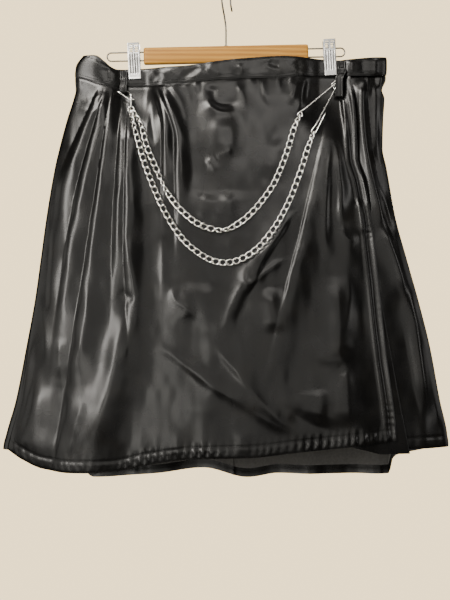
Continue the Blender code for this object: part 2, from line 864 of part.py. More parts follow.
def clip_loops(group, frame):
    """The two wire loops on which the clips slide, each held in the bar's end."""
    half = LOOP_SPACING / 2
    for name, side in (("left", -1), ("right", 1)):
        inner = BAR_LENGTH / 2 - SOCKET_DEPTH + 2
        turn = LOOP_REACH - half
        path = [(inner, half)]
        path += [
            (turn + half * math.cos(math.radians(a)), half * math.sin(math.radians(a)))
            for a in range(90, -91, -30)
        ]
        path += [(inner, -half)]
        loop = wire(
            f"hanger_loop_{name}", [(side * x, 0, z) for x, z in path], LOOP_WIRE, group, "steel"
        )
        loop.parent = frame


def clips(group):
    """Sheet-metal clips: two jaws joined by a spring web, with a rubber pad in each jaw."""
    half, sheet = CLIP_HEIGHT / 2, CLIP_SHEET / 2
    outer = [(p.out + sheet, p.up) for p in JAW]
    web = JAW[2].out - sheet
    inner_upper = [(p.out - sheet, p.up) for p in JAW[:2]] + [(web, WEB_TOP)]
    inner_lower = [(web, WEB_BOTTOM)] + [(p.out - sheet, p.up) for p in JAW[3:]]
    right_side = outer + inner_lower[::-1]
    left_side = [(-y, z) for y, z in right_side]
    top = [(-y, z) for y, z in inner_upper] + inner_upper[::-1]
    outline = left_side + right_side[::-1] + top[::-1]
    near = CLAMPED + BAND / 2 + GAP
    far = near + PAD_THICK
    for clip in CLIPS:
        curve = bpy.data.curves.new(f"clip_{clip.name}", "CURVE")
        curve.dimensions = "2D"
        curve.fill_mode = "BOTH"
        curve.extrude = CLIP_WIDTH / 2 * MM
        spline = curve.splines.new("POLY")
        spline.points.add(len(outline) - 1)
        for place, (y, z) in zip(spline.points, outline):
            place.co = (y * MM, z * MM, 0, 1)
        spline.use_cyclic_u = True
        shell = bpy.data.objects.new(f"clip_{clip.name}", curve)
        bpy.context.scene.collection.objects.link(shell)
        link(shell, group, "steel")
        frame = bpy.data.objects.new(f"clip_{clip.name}_frame", None)
        group.objects.link(frame)
        frame.location = Vector((clip.x, 0, -clip.down)) * MM
        frame.rotation_euler = (0, CLIP_TILT, 0)
        shell.rotation_euler = (math.pi / 2, 0, math.pi / 2)
        shell.parent = frame
        for side, where in ((-1, "front"), (1, "back")):
            pad = block(
                f"clip_{clip.name}_pad_{where}",
                (-CLIP_WIDTH / 2 + PAD_INSET, min(side * near, side * far), -half + PAD_INSET),
                (CLIP_WIDTH / 2 - PAD_INSET, max(side * near, side * far), clip.pad_top),
                group,
                "rubber",
            )
            pad.parent = frame


# Chain hardware ---------------------------------------------------------------------------------


def clasp(inside_y, group, cutters):
    """The swivel clasp: a bent hook through the left belt loop, a barrel and a swivel eye."""
    cloth = min(front_y(x, d) for x in range(-158, -140, 3) for d in range(176, 212, 4))
    body_y = min(inside_y - 2.0, cloth - CLOTH / 2 - SPARE - GAP - 3.3)
    path = [(p.x, inside_y + (body_y - inside_y) * p.share - p.out, -p.down) for p in CLASP_HOOK]
    group_finish = (group, "silver")
    top, bottom = (BODY_X, body_y, -BODY_TOP), (BODY_X, body_y, -BODY_BOTTOM)
    body = rod("swivel_clasp", top, bottom, BARREL_RADIUS, *group_finish)
    bent = as_mesh(wire("clasp_hook", path, CLASP_WIRE, *group_finish), *group_finish)
    low, lowest = (BODY_X, body_y, -BODY_BOTTOM + 1.5), (BODY_X, body_y, -EYE_DOWN + EYE_RADIUS - 0.3)
    neck = rod("clasp_neck", low, lowest, NECK_RADIUS, *group_finish)
    left, right = (BODY_X + 1, body_y, -KNOB_DOWN), (BODY_X + 4.6, body_y, -KNOB_DOWN)
    knob = rod("clasp_knob", left, right, KNOB_RADIUS, *group_finish)
    circle = []
    for angle in range(0, 360, 36):
        a = math.radians(angle)
        y, z = body_y + EYE_RADIUS * math.sin(a), -EYE_DOWN + EYE_RADIUS * math.cos(a)
        circle.append((BODY_X, y, z))
    eye = ring_mesh("clasp_eye", circle, EYE_WIRE, *group_finish)
    for other in (bent, neck, knob, eye):
        helper(other, cutters)
        boolean(body, other, "UNION")
    return body_y


def ring_mesh(name, circle, radius, group, finish, sides_round=6):
    """A closed wire through the circle's points: each point carries a small ring of vertices."""
    count = len(circle)
    points = [Vector(p) for p in circle]
    centre = sum(points, Vector()) / count
    normal = (points[0] - centre).cross(points[1] - centre).normalized()
    bm = bmesh.new()
    rings = []
    for p in points:
        out = (p - centre).normalized()
        angles = [2 * math.pi * (k + 0.5) / sides_round for k in range(sides_round)]
        rings.append(
            [bm.verts.new((p + (out * math.cos(a) + normal * math.sin(a)) * radius) * MM) for a in angles]
        )
    for k in range(count):
        bridge(bm, rings[k], rings[(k + 1) % count])
    bmesh.ops.recalc_face_normals(bm, faces=bm.faces)
    return link(mesh_object(name, bm), group, finish)


def bridge(bm, one, other):
    for j in range(len(one)):
        i = (j + 1) % len(one)
        bm.faces.new((one[j], one[i], other[i], other[j]))


def clasp_ring(y, group):
    """The ring that both chains hang from, through the swivel's eye. Returns its centre."""
    centre = Vector((BODY_X, y, -(EYE_DOWN + 0.2 + RING_RADIUS)))
    circle = []
    for angle in range(0, 360, 30):
        a = math.radians(angle)
        circle.append(centre + Vector((math.sin(a), 0, math.cos(a))) * RING_RADIUS)
    ring_mesh("clasp_ring", circle, RING_WIRE, group, "silver")
    return centre


def dense(points, step=1.0):
    """A smooth line through the points, with a point about every step."""
    points = [np.array(p, float) for p in points]
    ends = [2 * points[0] - points[1]] + points + [2 * points[-1] - points[-2]]
    line = []
    for a, b, c, d in zip(ends, ends[1:], ends[2:], ends[3:]):
        count = max(2, int(np.linalg.norm(c - b) / step))
        for t in np.arange(count) / count:
            line.append(
                0.5
                * (
                    2 * b
                    + (c - a) * t
                    + (2 * a - 5 * b + 4 * c - d) * t * t
                    + (3 * b - a - 3 * c + d) * t**3
                )
            )
    line.append(points[-1])
    return np.array(line)


def lie_on_cloth(flat, start_y, end_y, stand_off):
    """Gives a line across the front its depth: it lies on the highest cloth near it."""
    near = np.array(
        [
            min(
                front_y(x + dx, down + dz)
                for dx, dz in ((0, 0), (-7, 0), (7, 0), (0, -7), (0, 7), (5, 5), (-5, -5))
            )
            for x, down in flat
        ]
    )
    y = near - stand_off
    reach = 12
    padded = np.pad(y, reach, mode="edge")
    low = np.array([padded[i : i + 2 * reach + 1].min() for i in range(len(y))])
    weights = np.hanning(2 * reach + 3)[1:-1]
    soft = np.convolve(np.pad(low, reach, mode="edge"), weights / weights.sum(), mode="valid")
    along = np.arange(len(y))
    at_start = np.exp(-((along / 14.0) ** 2))
    at_end = at_start[::-1]
    soft = soft * (1 - at_start) + start_y * at_start
    return soft * (1 - at_end) + end_y * at_end


def chain(name, points, rolls, start, end, group, cutters):
    """A curb chain: equal oval links, each twisted, hooked into the next and fused where they touch."""
    flat = dense([(start.x, -start.z)] + [(p.x, p.down) for p in points] + [(end.x, -end.z)])
    shares = np.linspace(0, 1, len(flat))
    turned = np.array([abs(math.sin(math.radians(through(rolls, "along", "roll", s)))) for s in shares])
    flat_half = LINK_HALF_WIDTH * 0.45
    half_thick = LINK_WIRE + flat_half + (LINK_HALF_WIDTH - flat_half) * turned
    y = lie_on_cloth(flat, start.y, end.y, CLOTH / 2 + SPARE + GAP + half_thick)
    line = np.stack([flat[:, 0], y, -flat[:, 1]], axis=1)
    along = np.concatenate([[0], np.cumsum(np.linalg.norm(np.diff(line, axis=0), axis=1))])
    count = round((along[-1] - 2 * LINK_WIRE + LINK_FUSE) / LINK_PITCH)
    pitch = (along[-1] - 2 * LINK_WIRE + LINK_FUSE) / count
    half_length = (pitch + 2 * LINK_WIRE - LINK_FUSE) / 2

    def at(length):
        return Vector([np.interp(length, along, line[:, k]) for k in range(3)])

    halves = [bmesh.new(), bmesh.new()]
    for number in range(count):
        middle = half_length + number * pitch
        ahead = (at(middle + half_length) - at(middle - half_length)).normalized()
        across = ahead.cross(Vector((0, -1, 0))).normalized()
        roll = math.radians(through(rolls, "along", "roll", middle / along[-1]))
        across.rotate(Quaternion(ahead, roll))
        out = across.cross(ahead)
        centre = (at(middle + half_length) + at(middle - half_length)) / 2
        add_link(halves[number % 2], centre, ahead, across, out, half_length)
    made = []
    for label, bm in zip((name, f"{name}_even"), halves):
        bmesh.ops.recalc_face_normals(bm, faces=bm.faces)
        made.append(link(mesh_object(label, bm), group, "silver"))
    helper(made[1], cutters)
    boolean(made[0], made[1], "UNION")


def add_link(bm, centre, ahead, across, out, half_length, around=6, sides_round=3):
    rings = []

    def middle_at(angle):
        along = half_length * math.cos(angle)
        wide = LINK_HALF_WIDTH * math.sin(angle)
        roll = LINK_TWIST * along / half_length
        return centre + ahead * along + across * wide * math.cos(roll) + out * wide * math.sin(roll)

    for k in range(around):
        angle = 2 * math.pi * k / around
        here = middle_at(angle)
        tangent = (middle_at(angle + 0.2) - middle_at(angle - 0.2)).normalized()
        outward = (here - centre) - tangent * (here - centre).dot(tangent)
        outward.normalize()
        side = tangent.cross(outward)
        spokes = [math.pi + 2 * math.pi * j / sides_round for j in range(sides_round)]
        rings.append(
            [
                bm.verts.new((here + (outward * math.cos(a) + side * math.sin(a)) * LINK_WIRE) * MM)
                for a in spokes
            ]
        )
    for k in range(around):
        bridge(bm, rings[k], rings[(k + 1) % around])


def pin(name, eye, top, y_eye, y_top, back_to, second_arm, group):
    """A long pin of bent wire: an eye for the chain, a shaft, and a narrow turn through the belt loop."""
    start = Vector((eye.x, y_eye, -eye.down))
    ahead = Vector((top.x, y_top, -top.down)) - start
    length = ahead.length
    ahead.normalize()
    across = ahead.cross(Vector((0, -1, 0))).normalized()

    def place(along, wide):
        point = start + ahead * along + across * wide
        point.y = y_eye + (y_top - y_eye) * ease(12, length - 22, along)
        return point

    path = []
    if second_arm:
        path += [place(second_arm, PIN_EYE), place(second_arm - 3, PIN_EYE)]
        arc = range(90, 271, 30)
    else:
        arc = range(-10, 271, 35)
    for angle in arc:
        a = math.radians(angle)
        path.append(place(PIN_EYE * math.cos(a), PIN_EYE * math.sin(a)))
    path += [place(6, -PIN_EYE + 0.8), place(14, -PIN_SHAFT), place(length / 2, -PIN_SHAFT / 2)]
    path += [place(length - 20, -0.2), place(length - 1.5, 0.6)]
    path += [place(length, 0.1), place(length + 0.5, -1.2), place(length, -2.6)]
    path += [place(length - 1.5, -3.1), place(back_to + 2, -3.4), place(back_to, -2.6)]
    path += [place(back_to - 1, -PIN_SHAFT)]
    wire(name, path, PIN_WIRE, group, "silver")
    return start


def hardware(inside_left, inside_right, group, cutters):
    """Clasp, ring, pins and both chains between them."""
    body_y = clasp(inside_left, group, cutters)
    ring = clasp_ring(body_y, group)
    eyes = []
    for name, eye, top, back, arm, apart in (
        ("pin_upper", PIN_UPPER_EYE, PIN_UPPER_TOP, 71.0, 0.0, -PIN_APART),
        ("pin_lower", PIN_LOWER_EYE, PIN_LOWER_TOP, 78.0, 34.0, PIN_APART),
    ):
        y_eye = min(front_y(eye.x + dx, eye.down) for dx in (-8, 0, 8)) - 4.4
        eyes.append(pin(name, eye, top, y_eye, inside_right + apart, back, arm, group))
    inset = RING_RADIUS - HOOKED_IN
    reach = PIN_EYE - HOOKED_IN
    for name, points, rolls, lean, eye in (
        ("chain_upper", UPPER_CHAIN, UPPER_ROLL, 75, eyes[0]),
        ("chain_lower", LOWER_CHAIN, LOWER_ROLL, -75, eyes[1]),
    ):
        a = math.radians(lean)
        start = ring + Vector((math.sin(a), 0, -math.cos(a))) * inset
        last = Vector((points[-1].x, eye.y, -points[-1].down))
        end = eye + (last - eye).normalized() * reach
        chain(name, points, rolls, start, end, group, cutters)


def main():
    for obj in list(bpy.data.objects):
        bpy.data.objects.remove(obj)
    group = bpy.data.collections.new("leather_skirt_on_hanger")
    cutters = bpy.data.collections.new("cutters")
    cutters.hide_render = True
    for made in (group, cutters):
        bpy.context.scene.collection.children.link(made)
    waistbands(group)
    front_overlap(group)
    right_panel(group)
    back_panels(group)
    inside_left = strap("belt_loop_left", STRAP_LEFT, STRAP_LEFT_BOTTOM, 0.0, group)
    inside_right = strap("belt_loop_right", STRAP_RIGHT, STRAP_RIGHT_BOTTOM, STRAP_SLANT, group)
    frame = bpy.data.objects.new("hanger_frame", None)
    group.objects.link(frame)
    frame.location = (0, 0, -BAR_DOWN * MM)
    frame.rotation_euler = (0, BAR_TILT, 0)
    bar(group, cutters, frame)
    hook(group)
    clip_loops(group, frame)
    clips(group)
    hardware(inside_left, inside_right, group, cutters)


main()
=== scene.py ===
"""The looks of a black leather-look wrap skirt with a double chain, hung from a wooden clip hanger.

Sizes are in millimetres in the tables, and MM turns them into Blender's metres. X runs to the right as
seen from the front, Y runs to the back and Z up. The origin is the point where the hanger's hook hangs.
Heights on the cloth are given as "down": millimetres below that point. The cloth's form is worked out
by the same functions as the solids', on a finer grid, with the creases added.
"""

import math
from collections import namedtuple

import bpy
import numpy as np
from mathutils import Matrix, Vector


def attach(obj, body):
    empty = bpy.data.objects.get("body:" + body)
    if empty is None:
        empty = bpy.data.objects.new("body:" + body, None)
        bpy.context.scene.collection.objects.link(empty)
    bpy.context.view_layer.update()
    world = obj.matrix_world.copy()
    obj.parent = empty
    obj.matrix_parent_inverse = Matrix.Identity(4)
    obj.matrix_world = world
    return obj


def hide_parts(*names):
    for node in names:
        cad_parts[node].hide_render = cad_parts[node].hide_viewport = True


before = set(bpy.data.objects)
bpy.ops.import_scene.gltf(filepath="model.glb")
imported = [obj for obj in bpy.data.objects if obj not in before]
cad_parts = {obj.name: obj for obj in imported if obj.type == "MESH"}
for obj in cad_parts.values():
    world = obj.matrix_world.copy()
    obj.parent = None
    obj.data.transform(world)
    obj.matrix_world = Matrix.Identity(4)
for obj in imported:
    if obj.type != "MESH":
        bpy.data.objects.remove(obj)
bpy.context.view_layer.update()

MM = 0.001


def table(columns, *rows):
    """Rows whose columns have names."""
    row = namedtuple("row", columns)
    return tuple(row(*values) for values in rows)


# The solids' sizes, as in the part's source -------------------------------------------------------

CLOTH, BAND, CLAMPED = 1.2, 2.4, 1.5
GAP = 0.3
HALF_GAP = GAP / 2 + 0.05  # at the side seams, with a little to spare
SEAM_INSET_RIGHT = 4.0
CENTRE_BACK = 13.0
BAR_LENGTH, BAR_HEIGHT, BAR_DEPTH, BAR_DOWN = 263.0, 27.0, 11.0, 110.0
BAR_TILT = math.radians(-1.2)
BAR_CORNER = 3.6
HOOK_WIRE, HOOK_RADIUS, HOOK_TURN = 1.4, 17.0, math.radians(65)
LOOP_WIRE, LOOP_SPACING, LOOP_REACH, SOCKET_DEPTH = 1.2, 13.4, 190.0, 13.0
CLIP_WIDTH, CLIP_HEIGHT, CLIP_SHEET, CLIP_TILT = 19.0, 57.0, 1.2, math.radians(-3)
WEB_TOP, WEB_BOTTOM = 8.0, 5.5
WEB_BOW = 0.9

JAW = table(
    "out up",
    (8.0, CLIP_HEIGHT / 2), (6.6, 14.0), (6.8, 6.0), (5.2, -8.0), (5.2, -CLIP_HEIGHT / 2),
)

HOOK_STEM = table("u down", (0, BAR_DOWN - 1), (0, 72), (-1.5, 62), (-6, 50), (-11.5, 39), (-15.5, 28))
HOOK_TIP = table("u down", (HOOK_RADIUS + 0.6, 22), (HOOK_RADIUS + 2.5, 28), (HOOK_RADIUS + 6, 34))
HOOK_COLLAR = ((-1.2, 3.2), (0.2, 3.2), (0.9, 2.9), (1.3, 2.2), (1.3, 1.5))  # (along, radius)

LINK_HALF_WIDTH, LINK_PITCH, LINK_TWIST = 4.2, 11.0, math.radians(45)
LINK_SOLID_WIRE, LINK_FUSE = 1.2, 0.6  # the solids' links, which set the length and the place
LINK_WIRE = 1.3
RING_RADIUS, RING_WIRE, HOOKED_IN = 4.8, 0.9, 3.0
BARREL_RADIUS, KNOB_RADIUS = 2.3, 1.0
# The barrel's outline from its lower and its upper end, as (in from the end, share of its radius)
BARREL_LOW = ((0, 0.6), (0.5, 0.92), (0.9, 1), (2.0, 1), (2.4, 0.84), (2.9, 0.84), (3.3, 1))
BARREL_HIGH = ((3.2, 1), (2.8, 0.86), (2.2, 0.86), (1.8, 0.97), (0.6, 0.9), (0, 0.62))
KNOB = ((0.8, 0.6), (2.6, 0.6), (2.9, 0.95), (3.6, KNOB_RADIUS), (4.3, 0.9), (4.6, 0.5))
CLASP_WIRE, EYE_RADIUS, EYE_WIRE = 1.0, 2.4, 0.9
PIN_WIRE, PIN_EYE, PIN_SHAFT, PIN_APART = 0.9, 3.6, 1.6, 1.2
# The turn at a pin's far end, as (past the end, to the side)
PIN_TURN = ((-20, -0.2), (-1.5, 0.6), (0, 0.1), (0.5, -1.2), (0, -2.6), (-1.5, -3.1))
PIN_BACK = ((2, -3.4), (0, -2.6), (-1, -PIN_SHAFT))  # the same where the wire's end comes back to the shaft
STRAP_WALL, STRAP_TURN, SPARE = 1.2, 3.0, 0.9

CLIPS = table(
    "name x down inner_fall outer_fall",
    ("left", -146.5, 121.0, 24.0, 20.0),
    ("right", 166.0, 115.0, 24.0, 11.0),
)
CLIP_FLAT = 14.0
CLIP_FADE = (165.0, 250.0)

LEVELS = table(
    "down left right front back",
    (114, -226, 256, 12, 12), (130, -238, 256, 12, 12), (150, -241, 255, 12, 12), (167, -240, 249, 13, 13),
    (180, -243, 253, 14, 14), (215, -254, 251, 17, 17), (260, -266, 250, 20, 20), (290, -273, 256, 22, 22),
    (372, -287, 271, 27, 26), (438, -296, 289, 31, 29), (502, -305, 307, 34, 32), (578, -319, 326, 38, 35),
    (664, -336, 342, 42, 38), (713, -350, 353, 44, 40), (740, -356, 356, 45, 41), (795, -358, 358, 46, 42),
)

BAND_ROWS = table(
    "x top bottom",
    (-241, 113, 147), (-228, 112, 150), (-200, 122.5, 158), (-174, 135, 162), (-147, 134, 162),
    (-76, 131, 158), (6, 120, 151), (87, 115, 149), (128, 117, 145), (183, 120, 145), (233, 116, 145),
    (256, 115, 143),
)

FRONT_HEM = table(
    "x down",
    (-346, 740), (-320, 754), (-286, 767), (-240, 772), (-181, 771), (-120, 759), (-56, 750), (44, 747),
    (100, 741), (178, 733), (268, 723),
)
RIGHT_HEM = table("x down", (195, 732), (222, 739), (244, 744), (289, 744), (310, 738), (356, 736))
BACK_HEM = table(
    "x down",
    (-356, 740), (-300, 752), (-234, 766), (-228, 786), (-216, 792), (-108, 785), (-35, 778), (35, 793),
    (86, 787), (266, 786), (273, 757), (310, 746), (356, 736),
)

FREE_EDGE = table(
    "down at",
    (150, 199), (218, 206), (277, 208), (316, 219), (386, 231), (440, 237), (502, 243), (581, 251),
    (690, 265), (725, 268),
)
PLEAT_EDGE = table(
    "down at",
    (145, 195), (218, 200), (277, 202), (316, 211), (386, 223), (440, 232), (490, 243), (581, 259),
    (659, 273), (744, 289),
)
PLEAT_DEPTH = table("down at", (145, 5), (300, 8), (500, 14), (744, 20))
PLEAT_LAYER = table("down at", (145, 1.8), (400, 2.2), (744, 2.8))
UNDER_EDGE = table("down at", (145, 185), (740, 196))
UNDER_DROP = table("down at", (145, 2.2), (200, 2.8))
LEFT_INSET = table("down at", (114, 3), (520, 3), (600, 6), (700, 10), (745, 10))

# A fold swells softly to both sides, and on its steep side, -1 for the left, ends in a sharp foot
STEEP_WIDTH = 0.65  # how far away that foot is, as a share of the fold's width
STEEP_ROUNDING, FOLD_FADE = 0.8, 30
FRONT_FOLDS = table(
    "downs xs widths heights steep",
    ((165, 345, 600), (-198, -258, -272), (9, 22, 28), (2, 5, 0), -1),
    ((165, 353, 640), (-188, -229, -264), (8, 20, 28), (2.5, 4.5, 0), -1),
    ((165, 430, 770), (-177, -208, -254), (8, 20, 28), (2.5, 4.5, 3), -1),
    ((170, 370, 560), (-162, -166, -168), (7, 18, 22), (2.5, 4, 0), -1),
    ((175, 400, 620), (-152, -148, -134), (8, 20, 26), (2.5, 4.5, 0), -1),
    ((500, 640, 772), (-140, -180, -218), (28, 34, 38), (0, 6, 5), 0),
    ((290, 500, 772), (-128, -119, -162), (20, 32, 34), (0, -4, -3), 0),
    ((160, 230, 400), (-113, -94, -92), (9, 12, 16), (2.5, 4, 0), -1),
    ((160, 250, 450), (-104, -73, -69), (9, 14, 18), (2.5, 4.5, 0), -1),
    ((160, 240, 330), (-30, -14, -8), (14, 20, 26), (1, 2.5, 0), 0),
    ((215, 389, 640), (166, 130, 74), (12, 20, 32), (0, 4.2, 0), -1),
    ((225, 340, 480), (164, 182, 208), (10, 14, 18), (0, 2.6, 0), 0),
    ((360, 443, 580), (106, 50, -16), (14, 18, 24), (0, 3, 0), 1),
    ((560, 640, 722), (-134, 0, 132), (26, 30, 30), (0, 2.2, 0), 0),
    ((540, 628, 725), (-30, 28, 118), (20, 24, 26), (0, 2, 0), 0),
    ((330, 560, 748), (40, 20, 0), (50, 70, 80), (0, 4, 5), 0),
    ((480, 640, 735), (176, 190, 196), (24, 28, 32), (0, 4, 4), 0),
    ((150, 290, 460), (215, 228, 268), (12, 13, 18), (3, 5, 0), 1),
    ((380, 560, 740), (272, 300, 318), (12, 14, 18), (0, 3, 3), 0),
)
BACK_FOLDS = table(
    "downs xs widths heights steep",
    ((165, 345, 640), (-190, -240, -282), (10, 20, 26), (2, 6, 0), -1),
    ((165, 430, 790), (-165, -200, -230), (9, 18, 10), (3, 7, 7), -1),
    ((170, 400, 700), (-140, -150, -150), (10, 18, 26), (3, 6, 0), 0),
    ((280, 540, 790), (-96, -104, -112), (18, 26, 30), (0, -7, -6), 0),
    ((165, 380, 790), (-60, -58, -50), (12, 24, 32), (2, 6, 6), 0),
    ((165, 450, 790), (60, 72, 84), (12, 26, 34), (2, 7, 6), 0),
    ((300, 560, 790), (118, 130, 140), (18, 24, 28), (0, -6, -6), 0),
    ((165, 380, 790), (150, 190, 210), (10, 20, 28), (3, 6, 5), 0),
    ((165, 430, 790), (196, 236, 268), (9, 15, 10), (3, 6, 7), 1),
    ((300, 500, 700), (236, 286, 318), (10, 14, 18), (0, 3, 0), 0),
)

UPPER_CHAIN = table(
    "x down",
    (-134, 227), (-125, 260), (-116, 282), (-106, 305), (-95, 329), (-81, 350), (-65, 367), (-46, 382),
    (-23, 391), (0, 393), (25, 379), (41, 365), (57, 346), (74, 322), (90, 286), (99, 260), (108, 229),
)
LOWER_CHAIN = table(
    "x down",
    (-144, 233), (-137, 255), (-129, 285), (-108, 339), (-84, 385), (-58, 417), (-26, 439), (-4, 444),
    (18, 441), (49, 422), (78, 386), (101, 343), (120, 292), (129, 263),
)
STRAP_LEFT = (-168.5, -157.5)
STRAP_RIGHT = (178.5, 190.5)
STRAP_SLANT = 5.0
STRAP_LEFT_BOTTOM = 174.0
STRAP_RIGHT_BOTTOM = 180.0
BODY_X, BODY_TOP, BODY_BOTTOM = -150.5, 176.0, 188.5
KNOB_DOWN = 184.4
EYE_DOWN = 195.5

CLASP_HOOK = table(
    "x share out down",
    (BODY_X, 1.0, 0.0, 178.5), (-153.0, 0.5, 0.0, 174.5), (-156.0, 0.0, 0.2, 171.3),
    (-163.0, 0.0, 0.0, 170.7), (-169.0, 0.0, 0.0, 170.5), (-171.6, 0.0, 1.4, 170.7),
    (-172.4, 0.0, 3.6, 171.2), (-171.0, 0.0, 5.6, 172.2), (-163.0, 0.0, 6.2, 177.5),
    (-155.0, 0.5, 3.1, 183.6), (BODY_X, 1.0, 0.0, 186.0),
)

UPPER_ROLL = table(
    "along roll",
    (0.0, 60), (0.05, 60), (0.12, 5), (0.2, 0), (0.27, 75), (0.34, 5), (0.47, 0), (0.53, 70), (0.6, 0),
    (0.93, 0), (0.98, -60), (1.0, -60),
)
LOWER_ROLL = table(
    "along roll",
    (0.0, 60), (0.05, 55), (0.12, 5), (0.2, 0), (0.93, 0), (0.98, -60), (1.0, -60),
)
DRAPES = table(
    "name path rolls lean eye top back_to second_arm apart",
    ("upper", UPPER_CHAIN, UPPER_ROLL, 75, (117.0, 209.5), (186.0, 148.0), 71.0, 0.0, -PIN_APART),
    ("lower", LOWER_CHAIN, LOWER_ROLL, -75, (138.5, 236.0), (181.0, 152.0), 78.0, 34.0, PIN_APART),
)

# The creases --------------------------------------------------------------------------------------

# A crease rises, or with a negative height sinks, along a smooth line through its points (x, down).
# "crest" is how rounded its line is, "left" and "right" how wide its flanks are, as seen in the picture
# where it runs down, and "start" and "end" the shares of its length over which it fades in and out.
Crease = namedtuple("Crease", "crest left right height start end path")


def crease_table(*rows):
    """Creases from rows of their six numbers and the points (x, down) of their line."""
    return tuple(Crease(*row[:6], row[6:]) for row in rows)


